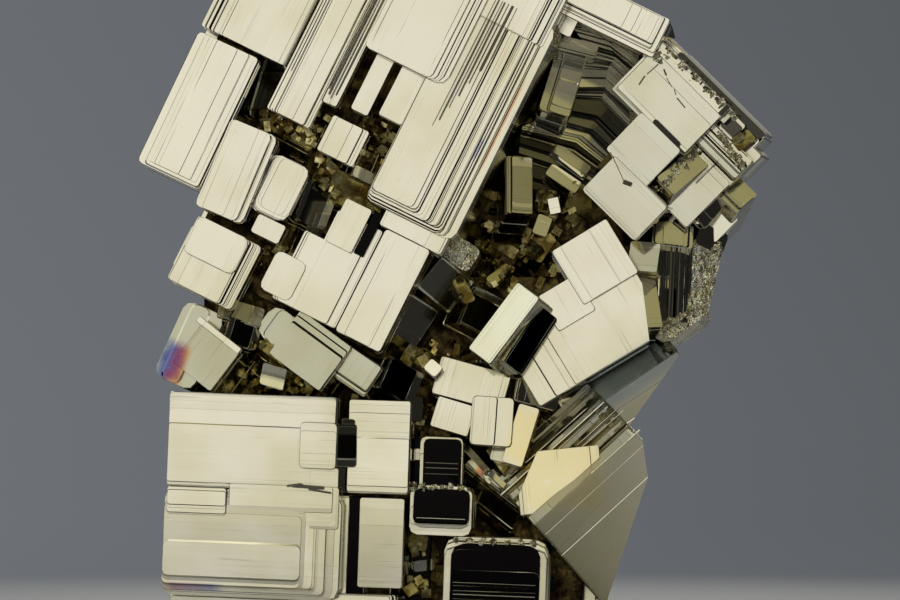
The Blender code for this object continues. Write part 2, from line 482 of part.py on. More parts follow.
def main():
    for item in list(bpy.data.objects):
        bpy.data.objects.remove(item)
    build_cluster(bpy.context.scene)


main()
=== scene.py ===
"""Pyrite crystal cluster: stepped metal cubes grown through each other.

Laid out as an add-on: one operator makes each group of crystals, the hollow's
wall, the broken bits of the clefts and the crumbs of the seams, and one makes the
studio.  Lengths in the tables are millimetres.  Crystals that grew in one
orientation share a Frame, whose u axis runs across, whose v axis runs up the
crystals and whose w axis points out.
"""

import math
import random
import zlib
from typing import NamedTuple

import bmesh
import bpy
import numpy as np
from mathutils import Euler, Matrix, Vector


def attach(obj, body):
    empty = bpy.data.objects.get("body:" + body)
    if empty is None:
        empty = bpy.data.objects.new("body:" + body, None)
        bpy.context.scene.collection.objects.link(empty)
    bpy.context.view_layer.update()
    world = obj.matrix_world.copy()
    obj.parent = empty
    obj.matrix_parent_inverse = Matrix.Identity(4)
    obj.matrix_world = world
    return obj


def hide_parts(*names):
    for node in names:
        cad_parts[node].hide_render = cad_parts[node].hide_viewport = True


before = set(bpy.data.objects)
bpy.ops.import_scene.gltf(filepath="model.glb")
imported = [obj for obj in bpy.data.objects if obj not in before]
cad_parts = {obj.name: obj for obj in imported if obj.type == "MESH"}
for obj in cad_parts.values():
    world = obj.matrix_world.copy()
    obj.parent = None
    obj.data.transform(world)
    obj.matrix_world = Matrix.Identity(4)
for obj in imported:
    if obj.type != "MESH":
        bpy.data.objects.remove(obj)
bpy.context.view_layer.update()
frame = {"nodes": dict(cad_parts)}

bl_info = {
    "name": "Pyrite cluster",
    "version": (1, 0, 0),
    "blender": (4, 5, 0),
    "location": "3D View > Sidebar > Pyrite",
    "description": "Grows a cluster of stepped pyrite crystals",
    "category": "Add Mesh",
}

MM = 0.001
NODE = "pyrite_cluster"
BODY = "root"

# The cluster, in millimetres and degrees
CENTRE_X = 0.88           # middle of its width, in the frames' own axes
CENTRE_Y = 3.93           # middle of its depth
WOBBLE = 0.35             # degrees by which neighbouring crystals differ
GROUND = 60.0             # half the size of the block that cuts the foot

# The outline of a crystal, in millimetres
EDGE = 0.06               # bevel along its edges
RIB_AT_EDGE = 0.6 * EDGE  # deepest that a rib is where the bevel starts
SIDE_POINTS = 1.2         # points along a side, for each millimetre of half its length
MOST_POINTS = 8           # most points along a side
ARC_POINTS = 3            # points round a corner
SHARPEST = 0.1            # least corner radius
INNER_RADIUS = 0.16       # greatest corner radius far inside the outline
BROAD_CORNER = 0.9        # corner radius from which the inner corners are broad as well
BROADER = 0.3             # what is added to the inner radius of such a crystal
ROUND_FADE = 0.35         # way inwards in which the corner radius falls to its inner one
ROUND_SHARE = 0.45        # greatest corner radius, as a share of the short side
WAVER = 0.3               # wavering from ring to ring, as a share of the lines' jog
MOST_SWAY = 0.06          # furthest that a point strays

# The ribs along a crystal's side
RIB_SHARE = 0.7           # share of the side that they cover
RIB_REACH = 7.0           # furthest that they reach from the face
RIB_COUNT = (2, 9)        # fewest and most ribs
RIB_START = 0.06          # where the first can start, and how much closer they are
RIB_CROWDING = 1.4        # near the face than further down
RIB_LEAST = 0.02          # least depth
RIB_BACK = 0.8            # how far a rib steps back, as a share of the depth
RIB_EDGE = 0.04           # height of a rib's edge

TREAD_LEVEL = 0.6         # how far outwards a face looks that counts as a tread

# The colour of a crystal: its grain, its tones and its stains
GRAIN_SHIFT = 40.0        # furthest that its grain is moved, so that no two are alike
CRYSTAL_TONE = 0.6        # how much the tone differs between crystals
RING_TONE = 0.5           # and between the rings of one crystal
CLEANER = 0.15            # a stained face's cleaner rings keep this share of its stain
CLEANER_SHARE = 0.2       # share of the rings that are cleaner

# The growth steps and the face lines; a spread is that of a Dirichlet or lognormal draw
RISER_LEAN = 0.35                 # run of a growth step's riser for each unit of its rise
RISER_SHARE = 0.7                 # most of a run that its riser takes
TREAD_RISE = 0.002                # what a tread rises
NARROW = 0.5                      # a growth step narrower than this is
NARROWED = 0.08                   # drawn in to this share
FINER = (2, 5)                    # fewest finer steps in a growth step, and one more than the most
FINER_SPREAD = 1.6                # evenness of the finer steps
FINER_LEANS = (0.3, 0.7)          # leans of the clean risers
DARK_LEAN = 1.6                   # lean of the dark risers
DARK_STEPS = 0.5                  # share of the growth steps whose risers get painted shade
DARK_STEP_SHADE = 0.92            # how dark that painted shade is
LINE_DENSITY = (0.3, 1.3)         # how much the number of lines differs between faces
MOST_LINES = 18                   # most lines on a face
NEAR_SHARE = (0.03, 0.22)         # share of the face that the lines of its near side cover
FAR_SHARE = (0.10, 0.42)          # and those of its far side
GAP_SPREAD = 1.5                  # how uneven the gaps between the lines are
LINE_ENDS = (0.008, 0.002, 0.04)  # mean, least and greatest gap at a line's ends
ENDS_SHARE = 0.3                  # most of the face's length that those gaps take
LINE_SPREAD = 0.9                 # how uneven the lines' heights are
LINE_RANGE = (0.2, 5.0)           # least and greatest height, compared with the usual one
LINES_UP = 0.6                    # share of the lines that step outwards
LINE_LEANS = (1.0, 2.0, 3.0)
LINE_GAP = 0.003                  # least gap between two lines
DARK_LINES = 0.2                  # share of the face lines whose risers get painted shade
DARK_LINE_SHADE = 0.8             # how dark that painted shade is


class Frame(NamedTuple):
    """An orientation: its origin, and its turns in degrees."""
    x: float
    z: float
    roll: float = 0.0       # clockwise, seen from the front
    yaw: float = 0.0        # turns the face to the left, which shows the right side
    pitch: float = 0.0      # turns the face up, which shows the underside
    y: float = 0.0          # how far back the origin lies


class Crystal(NamedTuple):
    """A crystal: the outline of its face, its depth and its growth steps."""
    name: str
    frame: Frame
    u: tuple                # from its left to its right side
    v: tuple                # from its foot to its top
    w: tuple                # from its root to the level of its outer outline
    steps: tuple = ()       # (left, right, bottom, top, rise) of each step
    corner: float = 0.25    # radius of the outline's corners
    turn: float = 0.0       # degrees by which it is rolled further
    cuts: tuple = ()        # (x, z, lean) of each upright plane that trims its right side
    stain: float = 0.0      # how dark its face is: a stain, and on shaded faces painted shade
    plain: bool = False     # no dark steps or dark lines; if stained, evenly and with no lines


UPPER = Frame(-5.0, 47.0, 26.5, 4.0, 1.5)
LOWER = Frame(-28.5, 0.0, 2.0, 4.0, 1.0)
HEART = Frame(13.0, 30.0, -31.0, -2.0, 5.0)
EAST = Frame(23.0, 49.0, 45.0, 6.0, -5.0)
FLAT = Frame(0.0, 0.0)
UPPER_BACK = Frame(-5.0, 47.0, 26.5, 184.0, -1.5, 8.0)
LOWER_BACK = Frame(0.0, 0.0, 2.0, 184.0, -1.0, 8.0)
EAST_BACK = Frame(23.0, 49.0, 45.0, 186.0, 5.0, 8.0)
HEART_BACK = Frame(12.0, 30.0, -31.0, 183.0, 8.0, 8.0)


def lone(name, x, z, size, turns, w, steps=(), **finish):
    """A crystal in an orientation of its own, by the middle of its face."""
    half_u, half_v = size[0] / 2, size[1] / 2
    return Crystal(name, Frame(x, z, *turns), (-half_u, half_u), (-half_v, half_v), w, steps,
                   **finish)


def facing(roll, lean):
    """The turns of a crystal whose face leans so many degrees to the right and upwards."""
    right, up = lean
    turn = math.radians(roll)
    return (roll, up * math.sin(turn) - right * math.cos(turn),
            right * math.sin(turn) + up * math.cos(turn))


# Ways a face can lean: into the dark of the room, and towards its dim lights
DARK = (24.0, 1.0)
DARK_LOW = (20.0, -14.0)
OLIVE = (10.0, 25.0)
DULL = (-13.0, 7.0)

CORE = (
    Crystal("core_upper", UPPER, (-14.8, 7.4), (-19.5, 18.0), (-14, 3.4)),
    Crystal("core_west", UPPER, (-21.8, -13.0), (-11.0, 17.6), (-13, 3.2)),
    Crystal("core_middle", FLAT, (-25.0, 11.0), (19.5, 34.4), (-12.5, 0.6)),
    Crystal("core_lower", LOWER, (1.0, 28.0), (-2.0, 22.5), (-14, 2.0)),
    Crystal("core_east", EAST, (-3.4, 5.6), (-8.2, 2.4), (-13, -1.0)),
    Crystal("core_east_high", EAST, (-7.4, 0.0), (-0.9, 4.6), (-14, -1.0)),
    Crystal("core_link", FLAT, (9.0, 20.5), (28.5, 42.4), (-14, -4.0)),
    Crystal("core_back_wall", FLAT, (-1.5, 20.0), (27.0, 60.5), (-13.5, -8.4)),
    Crystal("core_top", UPPER, (1.0, 17.2), (19.8, 22.6), (-13, 2.0)),
    Crystal("core_foot_east", LOWER, (20.0, 42.0), (-2.0, 20.0), (-12, -2.6)),
)

# Dark lines on the upper crystals: left edge, width, foot, top and level of each
UPPER_LINES = ((1.75, 0.12, 3.6, 18.0, 11.46), (2.05, 0.22, 4.4, 18.0, 11.46),
               (2.45, 0.10, 6.0, 18.0, 11.46), (2.70, 0.24, 7.4, 18.0, 11.46),
               (3.15, 0.12, 9.0, 18.0, 11.46), (3.50, 0.30, 10.6, 18.0, 11.46),
               (4.05, 0.12, 12.2, 18.0, 11.46), (-9.30, 0.14, 2.4, 19.6, 9.9),
               (-9.02, 0.24, 1.8, 19.8, 9.9), (-8.62, 0.10, 1.5, 19.8, 9.9),
               (-8.36, 0.30, 1.3, 19.8, 9.9), (-7.94, 0.14, 1.3, 19.8, 9.9))

UPPER_FACES = (
    Crystal("crown_west", UPPER, (-23.6, -14.1), (2.3, 18.6), (-2.5, 8.7),
            ((0.9, 0.0, 0.0, 0.5, 0.5), (0.9, 0.6, 0.0, 0.3, 0.25))),
    Crystal("west", UPPER, (-23.4, -16.4), (-12.7, 1.9), (0.5, 8.0),
            ((0.75, 0.35, 0.3, 0.0, 0.6), (0.7, 0.6, 0.3, 0.2, 0.2)), corner=0.6, turn=-1.5),
    Crystal("west_foot", UPPER, (-16.3, -11.1), (-14.0, -4.4), (-4, 10.9),
            ((0.25, 0.5, 0.3, 0.1, 0.5),), corner=0.8, turn=-4.0),
    Crystal("north", UPPER, (-14.0, -9.1), (-2.2, 19.6), (-6, 8.6),
            ((0.5, 0.5, 0.2, 0.4, 0.4), (0.45, 0.3, 0.0, 0.2, 0.2))),
    Crystal("north_rib", UPPER, (-9.5, -7.6), (0.9, 20.2), (-6, 9.0),
            ((0.5, 0.1, 0.1, 0.3, 0.5), (0.4, 0.1, 0.1, 0.2, 0.3))),
    Crystal("slot_strip", UPPER, (-6.4, -4.4), (1.5, 9.0), (-6, 9.4),
            ((0.15, 0.3, 0.3, 0.1, 0.4),)),
    Crystal("slot_plate", UPPER, (-3.6, -0.9), (2.2, 9.0), (-6, 9.8), ((0.1, 0.3, 0.3, 0.1, 0.4),)),
    Crystal("main", UPPER, (-1.1, 8.8), (-6.0, 17.9), (-6, 10.7),
            ((0.1, 0.7, 0.1, 0.3, 0.35), (0.0, 0.45, 0.0, 0.0, -0.25), (0.0, 0.5, 0.45, 0.1, 0.4),
             (0.0, 0.45, 0.0, 0.0, -0.2), (0.0, 0.5, 0.1, 0.0, 0.35), (0.0, 0.45, 0.0, 0.0, -0.15),
             (0.0, 0.9, 0.5, 0.0, 0.25)), corner=1.2),
    Crystal("main_foot", UPPER, (1.4, 8.4), (-7.7, 1.0), (-8, 10.4), ((0.1, 0.3, 0.3, 0.1, 0.3),),
            corner=0.4),
    *(Crystal(f"upper_line_{k}", UPPER, (u, u + wide), (foot, top), (6, level), corner=0.1,
              stain=0.9)
      for k, (u, wide, foot, top, level) in enumerate(UPPER_LINES)),
    Crystal("main_crown", UPPER, (-8.2, 8.2), (15.5, 21.4), (-9, 10.3),
            ((0.3, 0.7, 0.2, 0.5, 0.4), (0.5, 0.6, 0.2, 0.4, 0.3))),
    Crystal("top_plate", UPPER, (-7.9, 1.2), (7.6, 20.6), (2, 11.35),
            ((0.1, 0.6, 0.2, 0.4, 0.4), (0.1, 0.7, 0.2, 0.4, 0.35)), corner=1.3),
    Crystal("dice", UPPER, (-7.6, -3.5), (-3.7, 0.3), (-2, 9.8), ((0.2, 0.6, 0.1, 0.1, 0.3),)),
    Crystal("step_cube", UPPER, (-11.5, -7.0), (-11.9, -5.7), (-2, 9.2),
            ((0.7, 0.3, 0.4, 0.3, 0.5),), corner=1.3),
    Crystal("chip_cube", UPPER, (-9.9, -6.75), (-14.0, -11.9), (-2, 9.0),
            ((0.1, 0.15, 0.1, 0.1, 0.2),)),
    Crystal("round_plate", UPPER, (-6.6, -3.1), (-18.7, -14.3), (-2, 10.0),
            ((0.2, 0.35, 0.2, 0.15, 0.4),), corner=0.8),
    Crystal("shelf", UPPER, (-15.2, -8.0), (-22.0, -14.8), (-2, 10.6),
            ((0.2, 0.5, 0.2, 0.0, 0.4), (0.0, 0.5, 0.3, 0.0, 0.3)), corner=0.5),
    Crystal("shelf_plate", UPPER, (-15.1, -9.3), (-18.8, -14.7), (4, 11.8),
            ((0.1, 0.3, 0.2, 0.1, 0.25),), corner=0.8),
    Crystal("south", UPPER, (-2.9, 2.2), (-19.0, -8.0), (-6, 9.6),
            ((0.1, 0.2, 0.2, 0.1, 0.3), (0.1, 0.9, 0.1, 0.1, 0.2))),
    Crystal("south_west", UPPER, (-5.0, -2.4), (-19.0, -11.3), (-6, 9.5),
            ((0.3, 0.1, 0.2, 0.2, 0.3), (0.5, 0.1, 0.1, 0.3, 0.2))),
    # Painted shade: these faces in the clefts are stained dark for the clefts' shade
    lone("cavity_cube", -13.4, 41.6, (3.6, 4.6), facing(24, DARK), (-8, 7.2), corner=0.8,
         stain=0.8),
    lone("pit_face", -18.2, 53.2, (3.0, 6.6), facing(20, DARK), (-8, 5.2), corner=0.8, stain=0.93),
    lone("band_middle", -10.6, 47.8, (3.4, 3.0), facing(30, DARK), (-8, 6.2), corner=0.3,
         stain=0.8),
    lone("band_dice", -5.4, 45.4, (2.6, 6.0), facing(26, DARK), (-8, 6.4), corner=0.3, stain=0.9),
    lone("band_chip", -14.6, 36.2, (2.4, 6.4), facing(26, DARK), (-8, 6.2), corner=0.3, stain=0.9),
    lone("ridge_dark", -6.2, 43.4, (8.6, 1.3), facing(26, DARK), (-6, 6.8)),
    Crystal("south_cap", UPPER, (-2.7, 0.3), (-11.5, -6.6), (0, 10.6),
            ((0.1, 0.25, 0.1, 0.1, 0.3),)),
    Crystal("south_dark", UPPER, (0.4, 1.5), (-11.3, -6.5), (0, 10.45), corner=0.1, stain=1.0,
            plain=True),
    Crystal("south_slab", UPPER, (2.2, 7.3), (-19.1, -7.6), (-6, 10.7),
            ((0.1, 0.35, 0.2, 0.2, 0.4),), corner=0.35),
    Crystal("bar", UPPER, (-1.0, 18.6), (19.7, 24.0), (-12, 5.0),
            ((0.5, 0.4, 0.5, 0.3, 0.5), (0.3, 0.3, 0.4, 0.3, 0.3))),
)

# Pale lines on the black faces: left, right, foot, height, level and stain of each
FACE_LINES = ((24.7, 29.7, 10.95, 0.07, 8.0, 0.2), (24.7, 29.7, 10.35, 0.10, 8.0, 0.1),
              (25.4, 28.8, 15.4, 0.05, 6.75, 0.85), (25.4, 28.8, 16.0, 0.05, 6.75, 0.8),
              (25.4, 28.8, 16.5, 0.05, 6.75, 0.85), (28.6, 37.0, 4.55, 0.08, 7.6, 0.55),
              (28.6, 37.0, 4.2, 0.12, 7.6, 0.45), (28.6, 37.0, 3.75, 0.10, 7.6, 0.5),
              (28.6, 37.0, 3.3, 0.20, 7.6, 0.6), (28.6, 37.0, 2.85, 0.12, 7.6, 0.4),
              (28.6, 37.0, 2.4, 0.16, 7.6, 0.5), (28.6, 37.0, 1.9, 0.12, 7.6, 0.35))

LOWER_FACES = (
    Crystal("low_top", LOWER, (-0.45, 16.5), (13.3, 22.85), (-6, 10.4),
            ((0.2, 0.3, 0.1, 0.35, 0.4), (0.1, 0.3, 0.3, 0.1, 0.2)), corner=0.35, turn=0.4),
    Crystal("low_plate", LOWER, (12.8, 16.6), (15.6, 20.3), (2, 11.9), ((0.1, 0.2, 0.2, 0.1, 0.3),),
            corner=0.45),
    Crystal("low_tab", LOWER, (13.9, 16.9), (12.9, 15.8), (2, 11.4), ((0.1, 0.2, 0.1, 0.1, 0.2),)),
    lone("plate_side", -10.4, 17.4, (2.3, 4.4), facing(2, DARK), (-5, 9.6), corner=0.3, stain=0.9),
    # Painted shade: a black strip in the slot between the low crystals and the post
    Crystal("slot_dark", LOWER, (17.9, 19.6), (2.6, 12.9), (-6, 9.0), corner=0.5, stain=1.0,
            plain=True),
    lone("low_pit", -14.2, 13.3, (3.4, 0.4), (4, 4, 1), (4, 12.3), corner=0.15, stain=0.9),
    lone("low_pit_side", -13.0, 12.9, (2.4, 0.3), (9, 4, 1), (4, 12.3), corner=0.1, stain=0.9),
    lone("low_pit_end", -15.6, 13.5, (1.6, 0.3), (-8, 4, 1), (4, 12.35), corner=0.1, stain=0.85),
    lone("tab_side", -10.9, 13.9, (1.3, 2.6), facing(2, DARK), (-5, 8.8), corner=0.12),
    Crystal("low_bottom", LOWER, (-0.55, 17.3), (2.4, 13.3), (-6, 11.15),
            ((0.2, 0.5, 0.2, 0.3, 0.3), (0.0, 0.8, 0.5, 0.7, 0.2), (0.0, 1.1, 0.5, 0.9, 0.2),
             (0.0, 1.2, 0.3, 0.6, 0.15)), corner=1.5, plain=True),
    Crystal("low_plinth", LOWER, (0.2, 23.0), (-3.0, 3.2), (-6, 8.8), ((0.3, 0.4, 0.3, 0.3, 0.4),)),
    Crystal("low_side", LOWER, (17.0, 18.1), (2.6, 13.0), (-6, 8.6), ((0.1, 0.2, 0.1, 0.1, 0.4),),
            corner=0.2),
    Crystal("low_riser", LOWER, (5.9, 17.0), (9.6, 13.9), (4, 11.9), ((0.1, 0.6, 1.6, 0.1, 0.1),),
            corner=0.3),
    Crystal("low_terrace", LOWER, (-0.3, 5.7), (10.6, 13.4), (4, 11.75),
            ((0.1, 0.1, 0.6, 0.1, 0.06),), corner=0.3),
    Crystal("post_upper", LOWER, (17.6, 23.9), (13.2, 22.7), (-6, 8.6),
            ((0.1, 0.35, 0.1, 0.15, 0.4),)),
    Crystal("post_lower", LOWER, (19.0, 23.6), (3.8, 12.9), (-6, 9.0),
            ((0.1, 0.3, 0.1, 0.1, 0.3),)),
    lone("post_block", -10.2, 18.0, (1.5, 4.2), facing(2, DARK), (-2, 9.4), corner=0.3),
    Crystal("slot_line", LOWER, (18.3, 18.7), (3.0, 12.8), (-6, 6.2)),
    Crystal("dark_post", LOWER, (24.2, 26.4), (-3.0, 19.0), (-6, 4.4), ((0.1, 0.3, 0.1, 0.3, 0.4),),
            stain=1.0),
    lone("dark_block", -3.3, 21.0, (1.3, 2.6), facing(3, DARK), (-3, 6.6), corner=0.2),
    Crystal("rim_upper", LOWER, (24.85, 29.3), (13.6, 19.2), (-4, 6.0),
            ((0.1, 0.25, 0.1, 0.25, 0.3),), corner=0.7),
    Crystal("face_upper", LOWER, (25.2, 29.1), (13.8, 19.0), (4, 6.6), ((0.1, 0.1, 0.1, 0.1, 0.1),),
            corner=0.6, stain=1.0),
    Crystal("rim_middle", LOWER, (24.0, 30.4), (9.2, 14.3), (-4, 7.0), ((0.2, 0.2, 0.1, 0.2, 0.5),),
            corner=1.0),
    Crystal("face_middle", LOWER, (24.35, 30.1), (10.0, 14.0), (4, 7.8),
            ((0.1, 0.1, 0.5, 0.1, 0.1),), corner=0.9, stain=1.0),
    Crystal("rim_lower", LOWER, (27.6, 38.2), (-3.0, 9.2), (-4, 6.2),
            ((0.3, 0.3, 0.1, 0.35, 0.5), (0.2, 0.3, 0.1, 0.4, 0.3)), corner=1.6),
    Crystal("face_lower", LOWER, (28.3, 37.4), (-3.0, 8.6), (4, 7.4), ((0.1, 0.1, 0.6, 0.3, 0.1),),
            corner=1.8, stain=1.0),
    *(Crystal(f"face_line_{k}", LOWER, (left, right), (v, v + tall), (4, top), corner=0.02,
              stain=dark)
      for k, (left, right, v, tall, top, dark) in enumerate(FACE_LINES)),
    lone("ladder_middle", -2.6, 5.2, (2.4, 1.2), facing(-6, DARK), (-4, 5.0)),
    lone("ladder_dark", -4.2, 5.0, (2.0, 6.4), facing(2, DARK), (-4, 4.6)),
)

# The great cube: the middle of its sloping face, the planes that trim it, how far the
# bands on that face move left, up and back for each unit up the slope, and its lines,
# by their middle, length, width, root and level, and corner radius
CUBE_X = 11.3
CUBE_Z = 16.4
CUBE_CUTS = ((19.2, 19.0, -9.0), (20.0, 14.0, 17.5))
BAND_LEFT = 0.669
BAND_UP = 0.743
BAND_FALL = 0.966
CUBE_LINES = ((10.3, 17.0, 14.2, 0.24, (3, 5.35), 0.05), (9.9, 17.6, 10.6, 0.10, (3, 5.0), 0.02),
              (11.4, 17.4, 10.0, 0.10, (3, 5.65), 0.02), (15.1, 18.8, 6.4, 0.16, (4, 7.1), 0.05),
              (14.8, 19.2, 5.4, 0.08, (4, 6.85), 0.02))

SMALL_FACES = (
    lone("rounded_back", -26.2, 27.4, (4.6, 8.4), facing(24, DULL), (-6, 6.4),
         ((0.3, 0.2, 0.3, 0.3, 0.4),), corner=1.2),
    lone("tilted_slab", -24.5, 26.2, (5.2, 4.9), facing(38, DULL), (-7, 9.0),
         ((0.2, 0.2, 0.2, 0.2, 0.3),)),
    lone("tilted_edge", -23.2, 28.5, (5.4, 0.7), facing(38, (-3, 4)), (-2, 9.7), corner=0.1),
    lone("tilted_dark", -20.8, 28.6, (3.6, 2.6), facing(20, DARK), (-7, 7.6), corner=0.3,
         stain=0.93),
    lone("tilted_plate", -14.0, 26.9, (6.6, 5.6), facing(36, (-10.0, 5.0)), (-7, 8.4),
         ((0.2, 0.2, 0.2, 0.3, 0.3), (0.2, 0.2, 0.2, 1.4, 0.25))),
    lone("tilted_corner", -16.9, 29.0, (4.6, 3.6), facing(36, DULL), (-7, 7.9), corner=1.4),
    lone("hollow_cube", -21.0, 30.8, (4.6, 2.2), facing(16, OLIVE), (-6, 7.2), corner=0.3,
         stain=0.5),
    lone("seed_left", -17.8, 24.3, (2.7, 2.4), (18, 18, -20), (-4, 8.0)),
    lone("ridge_slab", -9.3, 24.8, (4.2, 3.6), facing(34, DULL), (-8, 8.8),
         ((0.2, 0.2, 0.5, 0.2, 0.5),)),
    lone("ridge_end", -4.9, 23.9, (4.2, 3.4), facing(28, DARK), (-6, 8.2), corner=0.3, stain=1.0),
    lone("seed_right", -1.7, 25.2, (1.6, 1.4), (40, 10, 10), (-2, 8.6)),
    Crystal("neck_plate", Frame(0.0, 0.0, 15.0, 5.0, 6.0), (-7.7, -0.3), (21.3, 25.3), (-6, 6.6),
            ((0.2, 0.3, 0.2, 0.2, 0.3),)),
    lone("neck_left", 0.3, 20.3, (4.0, 3.2), facing(17, (-3, 4)), (-4, 7.0), corner=0.2),
    lone("neck_wedge", 9.0, 22.6, (4.6, 2.6), facing(15, DARK), (-4, 7.4), corner=0.2),
    lone("neck_hex", 4.2, 19.8, (4.3, 5.0), facing(4, (-2, 4)), (-4, 7.8),
         ((0.2, 0.2, 0.2, 0.2, 0.15),), corner=0.5),
    lone("blade_1", 4.6, 13.4, (0.9, 7.4), facing(-48, OLIVE), (-6, 4.4)),
    lone("blade_2", 6.2, 12.6, (0.7, 6.4), facing(-52, DARK), (-6, 4.8)),
    lone("blade_3", 5.6, 15.0, (1.2, 5.6), facing(-40, DARK), (-6, 4.2)),
    lone("blade_4", 3.0, 15.6, (0.8, 4.6), facing(-36, OLIVE), (-6, 4.4)),
    lone("neck_seed", 5.2, 16.4, (2.3, 1.5), (12, 10, 6), (-2, 6.2)),
    lone("gold_face", 7.1, 18.4, (2.2, 6.2), facing(17, (-3, 5)), (-6, 7.4)),
    lone("cream_face", 11.0, 13.9, (8.6, 6.4), facing(-6, (-3, 4)), (-8, 8.6), corner=0.1,
         cuts=((15.3, 16.4, 49.0), (8.9, 17.1, 203.0))),
    *(lone(f"cube_band_{k}", CUBE_X - BAND_LEFT * v, CUBE_Z + BAND_UP * v, (13.5, 1.12),
           (-42, -2, 24), (-3, 6.0 - BAND_FALL * v), corner=0.1, cuts=CUBE_CUTS)
      for k, v in enumerate(np.linspace(-2.85, 3.1, 7))),
    lone("cube_edge", 16.6, 16.8, (6.7, 0.22), (-42, -2, 5), (6, 9.3), corner=0.05),
    *(lone(f"cube_line_{k}", x, z, (length, width), (-42, -2, 5), w, corner=corner)
      for k, (x, z, length, width, w, corner) in enumerate(CUBE_LINES, start=1)),
    Crystal("heart_upper", HEART, (1.1, 7.6), (1.0, 7.4), (-6, 8.1),
            ((0.2, 0.15, 0.1, 0.2, 0.15),)),
    Crystal("heart_west", HEART, (-2.4, 2.0), (0.0, 4.2), (-6, 8.0), ((0.2, 0.15, 0.1, 0.2, 0.1),)),
    Crystal("heart", HEART, (-7.9, 7.4), (-5.5, 2.0), (-8, 7.9),
            ((0.1, 0.2, 0.1, 0.1, 0.1), (3.4, 0.2, 0.1, 0.1, 0.1)), cuts=((20.0, 28.2, -7.0),)),
    # Painted shade: the spear's side is stained black as a side in shade
    lone("spear_side", 8.1, 28.0, (2.5, 7.0), facing(38, DARK), (-7, 10.5), corner=0.2, stain=1.0),
    lone("spear", 5.5, 29.6, (3.2, 8.4), (37, 30, 0), (-7, 10.4), ((0.2, 0.2, 0.2, 0.3, 0.3),)),
    lone("great_cube", CUBE_X, CUBE_Z, (14.0, 9.6), (-42, -2, 44), (-15, 5.2),
         ((0.0, 0.1, 0.5, 0.6, 0.4), (0.2, 0.1, 0.6, 0.4, 0.3)),
         cuts=CUBE_CUTS),
    lone("under_slab", 18.3, 25.0, (10.0, 3.6), (-33, -6, 48), (-6, 1.2),
         cuts=((24.0, 27.5, 35.0),)),
)

# Dark teeth along the slab's outer edge: left, width and height of each; their level
# rises to the right
TOOTH_FOOT = 4.95
TOOTH_TOP = 5.35
TOOTH_LEVEL = 5.72
TOOTH_RISE = 0.105
TEETH = ((-6.9, 0.2, 0.0), (-6.5, 0.3, 0.2), (-5.7, 0.5, 0.0), (-4.8, 0.15, 0.2),
         (-4.4, 0.7, 0.1), (-3.3, 0.2, 0.0), (-2.9, 0.4, 0.25), (-1.9, 0.2, 0.1),
         (-1.4, 0.9, 0.15), (-0.2, 0.2, 0.3), (0.2, 0.6, 0.1), (1.1, 0.25, 0.5),
         (1.5, 0.5, 0.8))
# Seams in the slab and beside the plate: middle, size, roll and level
EAST_SEAMS = ((21.7, 55.0, (0.20, 0.8), -20.0, 5.1), (22.1, 54.0, (0.10, 1.1), -30.0, 5.1),
              (22.7, 53.0, (0.16, 0.7), -12.0, 5.12), (23.3, 51.9, (0.20, 1.4), -40.0, 5.15),
              (20.4, 55.3, (0.08, 1.6), 50.0, 5.08), (19.3, 54.2, (0.10, 1.2), 34.0, 5.06),
              (24.4, 50.9, (0.16, 0.9), -46.0, 5.2), (16.9, 45.4, (0.14, 3.5), -25.0, 5.3),
              (17.9, 43.8, (1.0, 0.5), 20.0, 5.4), (26.0, 45.0, (0.10, 3.4), 45.0, 4.0))

